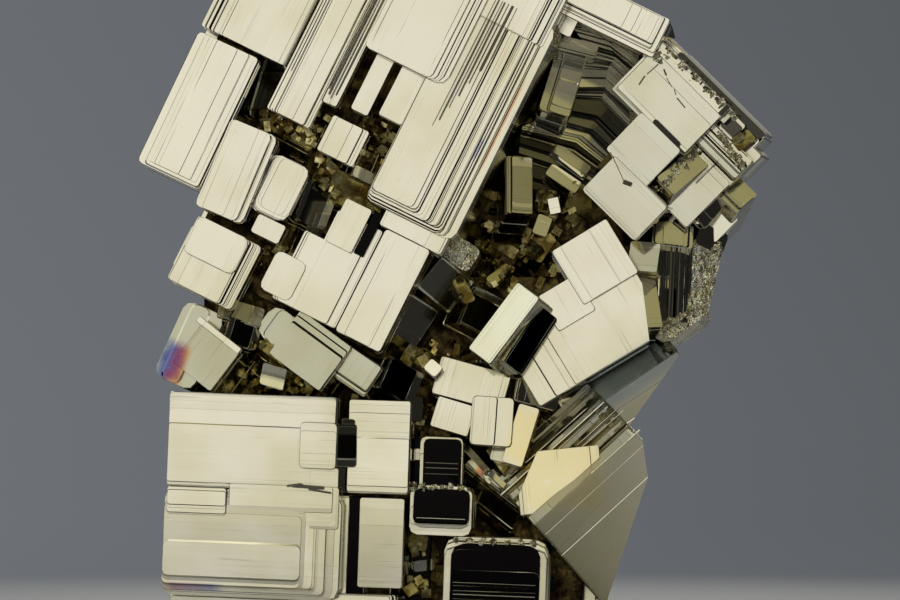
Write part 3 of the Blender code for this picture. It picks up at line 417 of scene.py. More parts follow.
EAST_FACES = (
    Crystal("east_wall", EAST, (-7.9, 6.8), (-1.6, 6.0), (-8, 0.6), ((0.2, 0.3, 0.2, 0.45, 0.6),)),
    Crystal("east_slab", EAST, (-7.6, 2.2), (-1.4, 5.4), (-6, 4.4),
            ((0.1, 0.2, 0.2, 0.3, 0.4), (0.1, 0.3, 0.1, 0.1, 0.2))),
    Crystal("east_plate", EAST, (-4.0, 1.7), (-6.4, -1.1), (-4, 5.0), ((0.1, 0.1, 0.1, 0.1, 0.2),),
            corner=0.3),
    lone("plate_bevel", 23.5, 45.0, (2.6, 5.2), facing(45, OLIVE), (-4, 4.5), corner=0.3),
    # Painted shade: the groove and its end are stained black as a gap in shadow
    Crystal("plate_groove", EAST, (-2.6, 1.2), (-1.25, -0.6), (2, 5.3), corner=0.3, stain=0.96),
    Crystal("groove_end", EAST, (0.6, 2.1), (-1.3, -0.95), (2, 5.3), corner=0.15, stain=0.96),
    *(Crystal(f"east_tooth_{k}", EAST, (u, u + wide), (TOOTH_FOOT - tall, TOOTH_TOP),
              (2, TOOTH_LEVEL + TOOTH_RISE * u), corner=0.05, stain=0.95)
      for k, (u, wide, tall) in enumerate(TEETH)),
    *(lone(f"east_seam_{k}", x, z, size, facing(roll, (-7.8, 0.7)), (2, top), corner=0.02,
           stain=0.93)
      for k, (x, z, size, roll, top) in enumerate(EAST_SEAMS)),
    # Painted shadow: this dark band stands for the slab's thick side in shade
    Crystal("east_rim", EAST, (-5.6, 6.5), (5.2, 6.2), (-6, 2.4), corner=0.3, stain=0.93,
            plain=True),
    Crystal("east_bundle", EAST, (1.3, 7.6), (-0.3, 3.4), (-6, 3.3),
            ((0.1, 0.2, 0.8, 0.7, 0.5), (0.1, 0.2, 0.7, 0.6, 0.4))),
    Crystal("east_right", EAST, (3.2, 7.6), (-6.3, 0.2), (-6, 2.9), ((0.1, 0.3, 0.2, 0.2, 0.3),)),
    lone("east_edge", 27.2, 41.8, (1.4, 6.0), facing(45, DARK), (-6, 2.4), corner=0.2),
    Crystal("east_foot", EAST, (-2.8, 4.8), (-11.0, -6.0), (-6, 4.8), ((0.2, 0.3, 0.2, 0.1, 0.4),),
            corner=0.4),
    lone("knob_end", 28.8, 43.0, (3.8, 3.2), facing(45, OLIVE), (-6, 2.2),
         ((0.2, 0.3, 0.6, 0.6, 0.4),)),
    Crystal("knob_dark", EAST, (2.5, 4.6), (3.2, 5.4), (-6, 3.4), ((0.2, 0.2, 0.2, 0.2, 0.3),),
            stain=0.9),
    lone("knob_pale", 27.9, 50.6, (0.8, 1.6), facing(45, DULL), (-2, 5.2), corner=0.1),
    Crystal("knob_high", EAST, (4.9, 7.9), (1.3, 4.5), (-7, 1.4), ((0.3, 0.3, 0.3, 0.3, 0.5),)),
    Crystal("knob_low", EAST, (7.2, 10.8), (-5.2, -1.6), (-5, 0.0), ((0.3, 0.3, 0.3, 0.3, 0.5),)),
    lone("column", 23.0, 34.0, (3.7, 8.6), facing(3, DARK), (-8, 1.6),
         ((0.9, 0.5, 0.1, 0.1, 0.3), (0.7, 0.5, 0.1, 0.1, 0.3))),
    lone("column_head", 22.6, 38.6, (4.2, 2.6), facing(8, OLIVE), (-8, 2.6),
         ((0.9, 0.9, 0.1, 0.1, 0.3),)),
    lone("column_side", 19.9, 32.3, (2.6, 6.8), facing(-3, OLIVE), (-8, 2.4)),
    lone("column_top", 19.6, 36.4, (3.2, 3.2), (4, 14, 16), (-6, 3.4)),
    lone("knob_black", 26.6, 38.2, (3.4, 2.4), facing(24, DARK), (-6, 0.6), corner=0.6),
)

RECESS_FACES = (
    lone("hollow_post", 11.4, 53.7, (3.4, 7.0), facing(18, OLIVE), (-9, -1.0),
         ((0.2, 0.2, 0.1, 0.2, 0.3), (0.9, 0.1, 0.1, 0.1, 0.2)), corner=0.5),
    lone("hollow_cap", 12.6, 57.8, (5.0, 1.6), facing(14, OLIVE), (-9, -0.6),
         ((0.1, 0.1, 0.5, 0.1, 0.3),)),
    lone("hollow_floor", 11.6, 44.4, (3.8, 1.6), facing(34, OLIVE), (-9, -3.2)),
    lone("hollow_shelf", 12.4, 46.4, (4.4, 1.3), facing(36, OLIVE), (-9, -2.8)),
    lone("recess_chip", 10.6, 41.6, (1.2, 1.7), (-12, 3, 3), (-7, -1.4), corner=0.1),
    lone("recess_post", 7.0, 43.6, (2.9, 6.6), facing(4, OLIVE), (-9, -2.2),
         ((0.3, 0.1, 0.1, 0.1, 0.2), (0.5, 0.2, 0.1, 0.1, 0.2)), stain=0.35),
    lone("recess_gold", 9.4, 39.6, (1.6, 2.4), facing(20, OLIVE), (-9, -1.2)),
    # Painted shade: the shadow cubes are stained dark for the shade in the hollow
    lone("shadow_cube_1", -0.4, 33.6, (4.6, 4.4), facing(40, DARK_LOW), (-8, 4.8), stain=0.85),
    lone("shadow_cube_2", 3.6, 30.6, (4.4, 4.4), facing(28, DARK), (-8, 4.4), stain=0.93),
    lone("shadow_cube_3", -3.8, 30.0, (4.0, 4.4), facing(32, DARK_LOW), (-8, 5.2), stain=0.9),
)

BROKEN_FACES = (
    lone("break_high", 25.4, 34.4, (3.4, 8.2), (14, -8, 4), (-10, 0.8), corner=1.0),
    lone("break_low", 22.8, 30.2, (5.6, 3.4), (-34, 4, 6), (-10, 1.4), corner=1.2),
    lone("rough_face", 1.0, 36.8, (3.6, 2.8), (34, 6, 4), (-7, 5.2), corner=0.7),
    lone("twist_low", -3.6, 47.9, (2.6, 1.4), (26, 10, 14), (-4, 7.0), corner=0.3),
    lone("rim_chip", 9.9, 59.3, (1.6, 2.2), (20, 8, 10), (-6, 6.0), corner=0.4),
)

BRONZE_FACES = (
    lone("band_west", -16.2, 49.2, (6.0, 2.0), facing(28, OLIVE), (-8, 6.6), corner=0.3),
    lone("cavity_side", -10.4, 43.2, (1.8, 4.0), facing(26, OLIVE), (-8, 6.2)),
    lone("band_south", -8.6, 42.6, (9.0, 2.4), facing(26, DARK_LOW), (-8, 6.0), corner=0.3),
    lone("recess_step_4", 14.6, 41.6, (6.0, 3.4), facing(24, DARK), (-9, -4.0)),
    lone("recess_seed", 9.0, 37.6, (2.6, 3.4), facing(32, OLIVE), (-9, -1.6)),
    lone("knob_brown", 29.7, 48.2, (1.5, 2.4), facing(48, OLIVE), (-6, 3.6), corner=0.2, stain=0.5),
    lone("corner_side", -17.4, 26.9, (3.6, 2.0), facing(36, OLIVE), (-7, 8.0), corner=0.9),
    lone("ladder_low", -3.2, 3.2, (2.2, 1.6), facing(4, OLIVE), (-4, 5.4)),
    lone("ladder_high", -3.2, 7.6, (2.0, 1.8), facing(10, OLIVE), (-4, 5.4)),
    lone("bronze_shelf", -6.0, 48.6, (3.4, 1.0), facing(30, OLIVE), (-4, 7.4), corner=0.3),
    lone("bronze_chip", -11.6, 45.9, (1.8, 1.3), facing(12, OLIVE), (-4, 7.6), corner=0.4),
    lone("bronze_tip", 1.4, 33.0, (1.4, 3.0), facing(-22, OLIVE), (-4, 5.0), corner=0.3),
    lone("bronze_wedge", 5.0, 34.6, (3.0, 1.2), facing(-38, OLIVE), (-4, 2.4), corner=0.3),
    lone("bronze_foot", -14.2, 25.2, (2.4, 1.2), facing(40, OLIVE), (-4, 7.4), corner=0.3),
)

# The stepped wall of the hollow, from the top down: where each of its main ledges
# starts, bends and ends in x and z, and how far out it lies, in millimetres
WALL = (
    (((12.0, 60.4), (15.8, 59.4), (19.2, 57.0)), -0.9),
    (((14.1, 57.5), (16.8, 56.7), (19.2, 54.6)), -1.2),
    (((13.6, 55.5), (16.0, 55.4), (18.4, 53.1)), -1.8),
    (((13.0, 53.6), (15.8, 53.6), (18.4, 51.2)), -2.0),
    (((12.2, 52.5), (15.4, 52.3), (18.2, 49.4)), -2.4),
    (((10.0, 50.6), (14.6, 49.3), (17.2, 46.8)), -3.6),
    (((7.4, 49.7), (13.0, 48.5), (16.4, 45.8)), -3.2),
    (((7.2, 48.8), (12.6, 47.2), (16.0, 44.8)), -3.4),
    (((7.0, 46.6), (12.0, 45.0), (15.6, 43.2)), -4.4),
    (((7.0, 43.6), (11.4, 42.6), (15.2, 41.6)), -5.0),
)
# Between two main ledges: the number of fine ledges, and the share of clean ones
BANDS = ((7, 0.8), (13, 0.8), (2, 1.0), (9, 0.75), (3, 0.0), (6, 0.4), (7, 0.5), (5, 0.4),
         (4, 0.1))
WALL_ROOT = -9.0          # where the wall's back is
LEDGE_SLOPE = 0.26        # how fast a ledge comes forward on its way down
WALL_TURN = 0.10          # how fast a ledge comes forward on either side of its bend
LEDGE_SPREAD = 1.5        # evenness of the fine ledges
LEDGE_RISER = 0.3         # share of a ledge that its riser takes
MOST_RISER = 0.10         # most that it takes, in millimetres
CLEAN_LEDGE = (0.0, 0.15)
STAINED_LEDGE = (0.7, 1.0)
# painted shade on the wall's risers and round its rim
RISER_SHADE = 0.9

SIDE_FACES = (
    Crystal("side_west_high", UPPER, (-23.0, -18.0), (8.4, 15.6), (-7.4, 1.0),
            ((0.0, 0.0, 0.4, 0.4, 0.4),), corner=0.3),
    Crystal("side_west_step", UPPER, (-23.5, -18.0), (4.0, 7.6), (-5.2, 0.2)),
    Crystal("side_west_low", UPPER, (-23.0, -18.0), (-9.4, -3.2), (-4.8, 2.6)),
    Crystal("side_west_seed", UPPER, (-23.4, -18.0), (-5.0, -1.4), (-3.0, 1.2)),
    Crystal("side_shelf", UPPER, (-15.6, -9.0), (-20.6, -16.0), (-7.6, 3.0)),
    Crystal("side_shelf_seed", UPPER, (-15.0, -11.0), (-22.2, -18.0), (-4.6, 1.4)),
    Crystal("side_low_west", LOWER, (-0.2, 6.0), (3.0, 10.2), (-8.8, 2.0)),
    Crystal("side_low_step", LOWER, (0.2, 6.0), (12.0, 18.0), (-6.4, 3.2)),
    Crystal("side_low_seed", LOWER, (-0.5, 4.0), (8.0, 11.4), (-4.6, -0.6)),
    Crystal("side_middle", FLAT, (-25.8, -20.0), (23.0, 27.6), (-9.4, -2.4)),
    Crystal("side_east", EAST, (-8.0, -1.0), (0.0, 6.4), (-7.4, -1.8)),
    Crystal("side_east_seed", EAST, (-2.4, 2.6), (0.0, 6.2), (-5.4, -0.4)),
    Crystal("side_back_east", EAST_BACK, (-8.2, 3.0), (-3.0, 5.0), (-7, 1.6)),
    Crystal("side_back_low", EAST_BACK, (-7.4, -1.0), (-7.4, -2.8), (-6, 1.0)),
    Crystal("side_foot_east", LOWER_BACK, (-15.0, -8.0), (-2.0, 15.0), (-4, 0.0)),
    Crystal("side_foot_seed", LOWER_BACK, (-15.4, -8.0), (14.0, 20.4), (-3, -1.0)),
    Crystal("top_west", UPPER, (-20.4, -15.2), (14.0, 19.5), (-6.6, 3.4)),
    Crystal("top_middle", UPPER, (-13.0, -4.0), (15.0, 20.7), (-10.4, 2.6)),
    Crystal("top_seed", UPPER, (-7.2, -2.6), (16.0, 22.0), (-4.0, 1.4)),
    Crystal("top_east", UPPER, (3.4, 10.2), (18.0, 24.4), (-6.0, 1.0)),
)

# Growth steps that several crystals of the back share: one even step, an even and a
# narrow one, and an even one with a broad one on the left, the right or below
EVEN = ((0.5, 0.55, 0.5, 0.5, 0.5),)
SEED = ((0.3, 0.3, 0.3, 0.3, 0.3),)
FRAMED = (*EVEN, (0.6, 0.6, 0.4, 0.5, 0.3))
LEFT = (*EVEN, (1.7, 0.5, 0.5, 0.5, 0.3))
RIGHT = (*EVEN, (0.6, 2.0, 0.5, 0.5, 0.3))
BELOW = (*EVEN, (0.6, 0.5, 1.9, 0.5, 0.3))


def behind(name, x, z, size, roll, top, steps):
    """A crystal of the back, by the middle of its face."""
    return lone(f"behind_{name}", x, z, size, (roll, 184.0, -1.0, 8.0), (2, top), steps, corner=0.4)


BACK_FACES = (
    behind("high", 3.4, 50.4, (10.4, 11.6), 26.5, 7.4, RIGHT),
    behind("east", 12.8, 46.6, (8.0, 8.6), 45.0, 6.8, LEFT),
    behind("edge", 18.6, 38.2, (6.4, 9.0), 20.0, 6.4, EVEN),
    behind("middle", 7.6, 38.4, (8.6, 8.8), -31.0, 7.8, BELOW),
    behind("dice", 4.0, 43.6, (3.4, 3.6), 26.5, 8.4, SEED),
    behind("west", -2.4, 37.4, (8.4, 8.0), 26.5, 7.2, FRAMED),
    behind("waist", -8.6, 28.4, (8.2, 7.6), 2.0, 6.9, LEFT),
    behind("heart", 1.2, 28.2, (8.8, 9.2), -31.0, 6.9, RIGHT),
    behind("seed", -3.4, 32.6, (3.0, 3.2), 12.0, 8.2, SEED),
    behind("low", 2.2, 18.4, (10.6, 8.6), 2.0, 6.6, RIGHT),
    behind("low_east", 11.4, 20.2, (8.4, 10.4), -40.0, 6.0, LEFT),
    behind("great", 13.8, 27.8, (7.0, 7.4), -33.0, 6.6, EVEN),
    Crystal("back_crown", UPPER_BACK, (9.0, 23.1), (2.5, 18.3), (0, 8.6), FRAMED),
    Crystal("back_west", UPPER_BACK, (12.6, 22.9), (-12.4, 3.0), (-1, 7.6), LEFT, corner=0.4),
    Crystal("back_main", UPPER_BACK, (-7.8, 9.8), (-4.0, 20.8), (-1, 10.0),
            (*FRAMED, (1.2, 3.0, 1.6, 0.6, 0.3)), corner=0.5),
    Crystal("back_plate", UPPER_BACK, (0.6, 7.0), (4.6, 15.6), (0, 11.8), SEED, corner=1.2),
    Crystal("back_foot", UPPER_BACK, (-2.4, 8.6), (-18.6, -2.0), (-1, 8.4), RIGHT, corner=0.4),
    Crystal("back_shelf", UPPER_BACK, (7.2, 15.0), (-20.2, -9.6), (-1, 6.4), LEFT, corner=0.5),
    Crystal("back_dice", UPPER_BACK, (5.6, 9.4), (-9.4, -5.4), (-1, 9.8), SEED),
    Crystal("back_middle", UPPER_BACK, (-12.4, -2.0), (-25.0, -13.6), (-1, 6.6), BELOW, corner=0.4),
    Crystal("back_middle_seed", UPPER_BACK, (-3.6, 1.4), (-21.6, -17.4), (0, 7.8), SEED),
    Crystal("back_link", EAST_BACK, (-6.6, 4.4), (-20.0, -9.4), (1, 6.8), LEFT, corner=0.4),
    Crystal("back_link_seed", EAST_BACK, (-9.4, -5.2), (-15.4, -10.6), (1, 7.8), SEED),
    Crystal("back_waist", LOWER_BACK, (19.0, 26.6), (21.0, 29.6), (-1, 6.4), EVEN, corner=0.3,
            turn=24.0),
    Crystal("back_waist_seed", LOWER_BACK, (13.2, 17.2), (22.2, 26.6), (-1, 7.2), SEED, turn=-12.0),
    Crystal("back_bar", UPPER_BACK, (-17.6, -2.0), (17.6, 23.3), (1, 6.6), FRAMED),
    Crystal("back_east", EAST_BACK, (-6.6, 11.0), (-7.0, 4.6), (-1, 7.4), BELOW, corner=0.5),
    Crystal("back_east_plate", EAST_BACK, (-1.0, 6.4), (-3.2, 2.8), (0, 9.0), SEED, corner=1.0),
    Crystal("back_low_west", LOWER_BACK, (8.6, 27.4), (-3.0, 12.4), (-1, 9.4), FRAMED, corner=0.5),
    Crystal("back_low_upper", LOWER_BACK, (10.8, 26.6), (12.0, 22.6), (-1, 8.0), LEFT, corner=0.4),
    Crystal("back_low_plate", LOWER_BACK, (14.0, 21.0), (8.4, 17.4), (0, 10.6), SEED, corner=0.9),
    Crystal("back_low_middle", LOWER_BACK, (-4.6, 9.4), (-3.0, 15.4), (-1, 7.0), RIGHT, corner=0.4),
    Crystal("back_low_east", LOWER_BACK, (-14.6, -3.8), (-3.0, 13.2), (-1, 5.4), FRAMED,
            corner=0.4),
    Crystal("back_heart", HEART_BACK, (-6.0, 8.0), (-6.0, 6.4), (-1, 6.2), RIGHT, corner=0.4),
    Crystal("back_heart_dice", HEART_BACK, (-4.6, 0.4), (-2.6, 2.6), (-1, 8.2), SEED, turn=6.0),
)


def axes_of(roll, yaw, pitch):
    """The u, v and w directions of an orientation, from its turns in degrees."""
    roll, yaw, pitch = (math.radians(turn) for turn in (roll, yaw, pitch))
    u = Vector((math.cos(roll), 0.0, -math.sin(roll)))
    v = Vector((math.sin(roll), 0.0, math.cos(roll)))
    w = Vector((0.0, -1.0, 0.0))
    u, w = (u * math.cos(yaw) + w * math.sin(yaw), w * math.cos(yaw) - u * math.sin(yaw))
    v, w = (v * math.cos(pitch) - w * math.sin(pitch), w * math.cos(pitch) + v * math.sin(pitch))
    return u, v, w


def place_of(crystal):
    """The middle of a crystal's outer face and its three directions."""
    orientation = crystal.frame
    draw = random.Random(crystal.name)
    front = orientation.yaw < 90
    flat = axes_of(orientation.roll, 0.0 if front else 180.0, 0.0)
    origin = Vector((orientation.x, orientation.y, orientation.z))
    middle = (origin + flat[0] * sum(crystal.u) / 2 + flat[1] * sum(crystal.v) / 2
              + flat[2] * crystal.w[1])
    turns = (orientation.roll, orientation.yaw, orientation.pitch)
    roll, yaw, pitch = (turn + draw.uniform(-WOBBLE, WOBBLE) for turn in turns)
    return middle, axes_of(roll + crystal.turn, yaw, pitch)


class Growth:
    """The rings of a crystal: how far each is drawn in on each side, and its level."""

    def __init__(self, crystal, along, lines, settings):
        self.crystal = crystal
        self.along = along
        self.lines = lines
        self.settings = settings
        self.draw = np.random.default_rng(zlib.crc32(crystal.name.encode()))
        self.insets = np.zeros(4)
        self.level = 0.0
        self.tilt = np.zeros(2)
        self.rings = []
        self.tilts = []
        self.marks = []

    def ring(self, mark=0.0):
        """Keeps the outline reached so far, and the painted shade of the faces that lead to it."""
        self.rings.append((*self.insets, self.level))
        self.tilts.append(self.tilt.copy())
        self.marks.append(mark)

    def lean(self):
        """A slight tilt for the next tread, so that treads catch the light differently."""
        self.tilt = self.draw.normal(0.0, self.settings.tread_tilt, 2)

    def sides(self):
        """The ribs along a crystal's side: pairs of shallow ledges down to its root."""
        depth = self.crystal.w[1] - self.crystal.w[0]
        deepest = self.settings.rib_depth
        reach = min(depth * RIB_SHARE, RIB_REACH)
        count = int(np.clip(reach * self.settings.ribs, *RIB_COUNT))
        levels = self.draw.uniform(RIB_START, 1.0, count) ** RIB_CROWDING
        levels = np.sort(levels)[::-1] * -reach
        self.level = -depth
        self.ring()
        for level in levels:
            self.level = level
            self.ring()
            shift = self.draw.uniform(RIB_LEAST, deepest, 4)
            self.insets = np.where(self.insets > 0.5 * deepest, self.insets - shift * RIB_BACK,
                                   self.insets + shift).clip(0.0)
            self.level = level + RIB_EDGE
            self.ring()

    def bevel(self):
        """The narrow bevel round the outer outline."""
        self.insets = self.insets.clip(0.0, RIB_AT_EDGE)
        self.level = -EDGE
        self.ring()
        self.insets = np.full(4, EDGE)
        self.level = 0.0
        self.lean()
        self.ring()

    def step(self, run, rise, lean, mark=0.0):
        """A tread and then a riser; run is what the two take on each side."""
        riser = np.minimum(abs(rise) * lean, run * RISER_SHARE)
        self.insets = self.insets + run - riser
        self.level += math.copysign(TREAD_RISE, rise)
        self.ring()
        self.insets = self.insets + riser
        self.level += rise
        self.lean()
        self.ring(mark)

    def main_steps(self):
        """The crystal's own growth steps, each split into finer ones that add up to it."""
        draw = self.draw
        for *run, rise in self.crystal.steps:
            total = np.array(run) + abs(rise) * RISER_LEAN
            total = np.where(total < NARROW, total * NARROWED, total)
            count = int(draw.integers(*FINER))
            shares = draw.dirichlet(np.full(count, FINER_SPREAD), size=4).T
            rises = draw.dirichlet(np.full(count, FINER_SPREAD)) * rise
            leans = draw.choice(FINER_LEANS, count)
            # Some risers get painted shade, as if they lay in shadow
            dark = draw.uniform(0, 1, count) < DARK_STEPS * (not self.crystal.plain)
            for share, part, lean, shaded_riser in zip(shares, rises, leans, dark):
                self.step(total * share, part, DARK_LEAN if shaded_riser else lean,
                          DARK_STEP_SHADE * shaded_riser)

    def gaps(self, across, count):
        """The gaps before each line on the near and the far side of the face."""
        shares = self.draw.uniform(*zip(NEAR_SHARE, FAR_SHARE))
        gaps = self.draw.lognormal(0.0, GAP_SPREAD, (2, count))
        return [share * np.sort(part) / part.sum() * across for share, part in zip(shares, gaps)]

    def face_lines(self):
        """Long low steps across the face, close together near its edges."""
        crystal, draw = self.crystal, self.draw
        spans = np.array((crystal.u[1] - crystal.u[0], crystal.v[1] - crystal.v[0]))
        spans -= (self.insets[0] + self.insets[1], self.insets[2] + self.insets[3])
        across, length = spans if self.along == "v" else spans[::-1]
        count = int(np.clip(across * self.lines * draw.uniform(*LINE_DENSITY), 0, MOST_LINES))
        if not count or (crystal.plain and crystal.stain):
            return
        sides = np.array(self.gaps(across, count)).T
        mean, *limits = LINE_ENDS
        ends = draw.exponential(mean, (count, 2)).clip(*limits)
        ends *= min(1.0, ENDS_SHARE * length / ends.sum())
        heights = draw.lognormal(0.0, LINE_SPREAD, count).clip(*LINE_RANGE)
        heights = self.settings.line_height * heights
        rises = heights * draw.choice((1.0, -1.0), count, p=(LINES_UP, 1 - LINES_UP))
        runs = np.hstack([sides, ends] if self.along == "v" else [ends, sides]) + LINE_GAP
        for run, rise in zip(runs, rises):
            # Some lines' risers get painted shade
            dark = (draw.uniform() < DARK_LINES) * (not crystal.plain)
            self.step(run, rise, draw.choice(LINE_LEANS), DARK_LINE_SHADE * dark)

    def grow(self):
        """All rings, from the root to the middle of the face, as arrays."""
        self.sides()
        self.bevel()
        self.main_steps()
        self.face_lines()
        rings = np.array(self.rings)
        top = sum(step[4] for step in self.crystal.steps)
        highest = rings[:, 4].max()
        over = rings[:, 4] > 0
        if highest > top and over.any():
            rings[over, 4] -= (highest - top) * (rings[over, 4] / highest)
        return rings[:, :4], rings[:, 4], np.array(self.tilts), np.array(self.marks)


def perimeter(long_points, short_points, arc_points):
    """Points round a unit square, as (place, rounding shift, inward way).

    A point's place in a rectangle is its place in the square scaled to it, plus
    the shift times the corner radius; along a side the shift keeps the points
    between the two corner arcs.
    """
    place, shift, inward = [], [], []
    corners = ((1, 1), (0, 1), (0, 0), (1, 0))
    inwards = ((0, -1), (1, 0), (0, 1), (-1, 0))
    for index, (a, c) in enumerate(corners):
        for angle in np.radians(90 * index + np.linspace(0, 90, arc_points)):
            place.append((a, c))
            shift.append((math.cos(angle) + 1 - 2 * a, math.sin(angle) + 1 - 2 * c))
            inward.append((0, 0))
        b, d = corners[(index + 1) % 4]
        along_u = index % 2 == 0
        count = short_points if along_u else long_points
        for part in np.linspace(0, 1, count + 2)[1:-1]:
            point = (a + (b - a) * part, c + (d - c) * part)
            place.append(point)
            shift.append((1 - 2 * point[0], 0) if along_u else (0, 1 - 2 * point[1]))
            inward.append(inwards[index])
    return np.array(place, float), np.array(shift, float), np.array(inward, float)


def side_points(half):
    """How many points a side of some half length has between its corners."""
    return int(np.clip(half * SIDE_POINTS, 1, MOST_POINTS))


def corner_radius(corner, insets, short_side):
    """Each ring's corner radius, which falls to an inner one on the way inwards."""
    outer = max(corner, SHARPEST)
    inner = min(outer, INNER_RADIUS + BROADER * (outer > BROAD_CORNER))
    passed = np.cumsum(np.diff(insets.mean(axis=1), prepend=0).clip(0.0))[:, None]
    radius = inner + (outer - inner) * np.exp(-passed / ROUND_FADE)
    return np.minimum(radius, ROUND_SHARE * short_side)


def sway_of(insets, points, jog, draw):
    """How far each ring's points stray inwards, which is more for the inner rings."""
    jogs = draw.normal(0.0, jog, points)
    waver = np.cumsum(draw.normal(0.0, jog * WAVER, (len(insets), points)), axis=0)
    gap = np.diff(insets.min(axis=1), prepend=0).clip(0.0)
    strength = np.minimum(np.cumsum(gap), 1.0)[:, None]
    return ((jogs + waver) * strength).clip(-MOST_SWAY, MOST_SWAY)


def crystal_surface(crystal, along, lines, settings):
    """A crystal as arrays of points and local places, with each ring's painted shade.

    The surface is a function of ring and perimeter point: the rectangle of the
    ring, drawn in by its insets, with its corners rounded, at the ring's level
    plus the ring's tilt times the point's place in the face.
    """
    growth = Growth(crystal, along, lines, settings)
    insets, levels, tilts, marks = growth.grow()
    half_u = (crystal.u[1] - crystal.u[0]) / 2
    half_v = (crystal.v[1] - crystal.v[0]) / 2
    place, shift, inward = perimeter(side_points(half_v), side_points(half_u), ARC_POINTS)
    left, right = insets[:, :1] - half_u, half_u - insets[:, 1:2]
    bottom, top = insets[:, 2:3] - half_v, half_v - insets[:, 3:4]
    width, height = right - left, top - bottom
    radius = corner_radius(crystal.corner, insets, np.minimum(width, height))
    sway = sway_of(insets, len(place), settings.jog, growth.draw)
    u = left + width * place[:, 0] + radius * shift[:, 0] + sway * inward[:, 0]
    v = bottom + height * place[:, 1] + radius * shift[:, 1] + sway * inward[:, 1]
    w = levels[:, None] + tilts[:, :1] * u + tilts[:, 1:] * v
    w = np.where(levels[:, None] >= 0, w, levels[:, None])
    local = np.stack([u, v, w], axis=-1)
    middle, axes = place_of(crystal)
    points = np.array(middle) + local @ np.array([axis[:] for axis in axes])
    return points, local, marks, growth.draw


def quads_of(rings, count):
    """The corners of the faces between rings of count points each."""
    lower = np.arange((rings - 1) * count).reshape(rings - 1, count)
    after = np.roll(lower, -1, axis=1)
    return np.stack([lower, after, after + count, lower + count], axis=-1).reshape(-1, 4)


def grain_of(local, quads, along):
    """Where each face corner lies across and along the striations, in millimetres.

    On a tread that is the place in the face; on a wall it is the depth added
    to the place across, and the place along the wall.
    """
    corners = local.reshape(-1, 3)[quads]
    normal = np.cross(corners[:, 2] - corners[:, 0], corners[:, 3] - corners[:, 1])
    normal = abs(normal) / np.maximum(np.linalg.norm(normal, axis=1, keepdims=True), 1e-12)
    u, v, w = corners[..., 0], corners[..., 1], corners[..., 2]
    across, length = (u, v) if along == "v" else (v, u)
    tread = (normal[:, 2] > TREAD_LEVEL)[:, None]
    faces_u = (normal[:, 0] > normal[:, 1])[:, None]
    wall_across = w + np.where(faces_u, u, v)
    wall_along = np.where(faces_u, v, u)
    return np.stack([np.where(tread, across, wall_across),
                     np.where(tread, length, wall_along)], axis=-1)


def mesh_of(name, points, faces, material):
    """A mesh of some points, in metres, and faces, in one material."""
    mesh = bpy.data.meshes.new(name)
    mesh.from_pydata(points.reshape(-1, 3).tolist(), [], faces)
    mesh.materials.append(material)
    return mesh


def map_grain(mesh, places):
    """Gives each face corner its place across and along the striations."""
    mesh.uv_layers.new(name="grain").uv.foreach_set("vector", places.ravel())


def mark_faces(mesh, name, values):
    """Gives each face a value that the materials read."""
    mesh.attributes.new(name, "FLOAT", "FACE").data.foreach_set("value", values)


def crystal_mesh(crystal, along, lines, settings, material):
    """One crystal as a closed mesh, with its grain map, tones, stains and painted shade."""
    points, local, marks, draw = crystal_surface(crystal, along, lines, settings)
    rings, count = points.shape[:2]
    quads = quads_of(rings, count)
    last = (rings - 1) * count
    caps = [list(range(last, last + count)), list(range(count))[::-1]]
    mesh = mesh_of(crystal.name, points * MM, quads.tolist() + caps, material)
    order = [0, 1] if along == "v" else [1, 0]
    grain = [grain_of(local, quads, along).reshape(-1, 2),
             *(local.reshape(-1, 3)[cap][:, order] for cap in caps)]
    map_grain(mesh, np.concatenate(grain) + draw.uniform(-GRAIN_SHIFT, GRAIN_SHIFT, 2))
    tone = draw.normal(0.0, 1.0) * CRYSTAL_TONE
    tone = tone + np.repeat(draw.normal(0.0, RING_TONE, rings - 1), count)
    mark_faces(mesh, "tone", np.append(tone, tone[-2:]))
    stain = np.where(local[1:, :, 2].mean(axis=1) > 0.0, crystal.stain, 0.0)
    patches = draw.choice((1.0, CLEANER), rings - 1, p=(1 - CLEANER_SHARE, CLEANER_SHARE))
    stain *= np.maximum(patches, crystal.plain)
    # The dark risers' painted shade joins the face's stain
    stain = np.repeat(np.maximum(stain, marks[1:]), count)
    mark_faces(mesh, "stain", np.append(stain, (crystal.stain, 0.0)))
    trim(mesh, crystal.cuts)
    return mesh


def trim(mesh, cuts):
    """Cuts away what lies to the right of upright planes, and closes the cuts."""
    if not cuts:
        return
    shape = bmesh.new()
    shape.from_mesh(mesh)
    for x, z, lean in cuts:
        angle = math.radians(lean)
        right = Vector((math.cos(angle), 0.0, -math.sin(angle)))
        parts = shape.verts[:] + shape.edges[:] + shape.faces[:]
        cut = bmesh.ops.bisect_plane(shape, geom=parts, plane_co=Vector((x, 0.0, z)) * MM,
                                     plane_no=right, clear_outer=True)
        edges = [part for part in cut["geom_cut"] if isinstance(part, bmesh.types.BMEdge)]
        bmesh.ops.contextual_create(shape, geom=edges)
    shape.to_mesh(mesh)
    shape.free()


def ground_mesh(material):
    """The block below the foot's flat cut."""
    shape = bmesh.new()
    bmesh.ops.create_cube(shape, size=2 * GROUND * MM)
    bmesh.ops.translate(shape, verts=shape.verts, vec=(0.0, 0.0, -GROUND * MM))
    mesh = bpy.data.meshes.new("ground")
    shape.to_mesh(mesh)
    shape.free()
    mesh.materials.append(material)
    return mesh


def boolean(item, name, operation):
    """A Boolean modifier on an object."""
    made = item.modifiers.new(name, "BOOLEAN")
    made.operation = operation
    made.solver = "MANIFOLD"
    return made


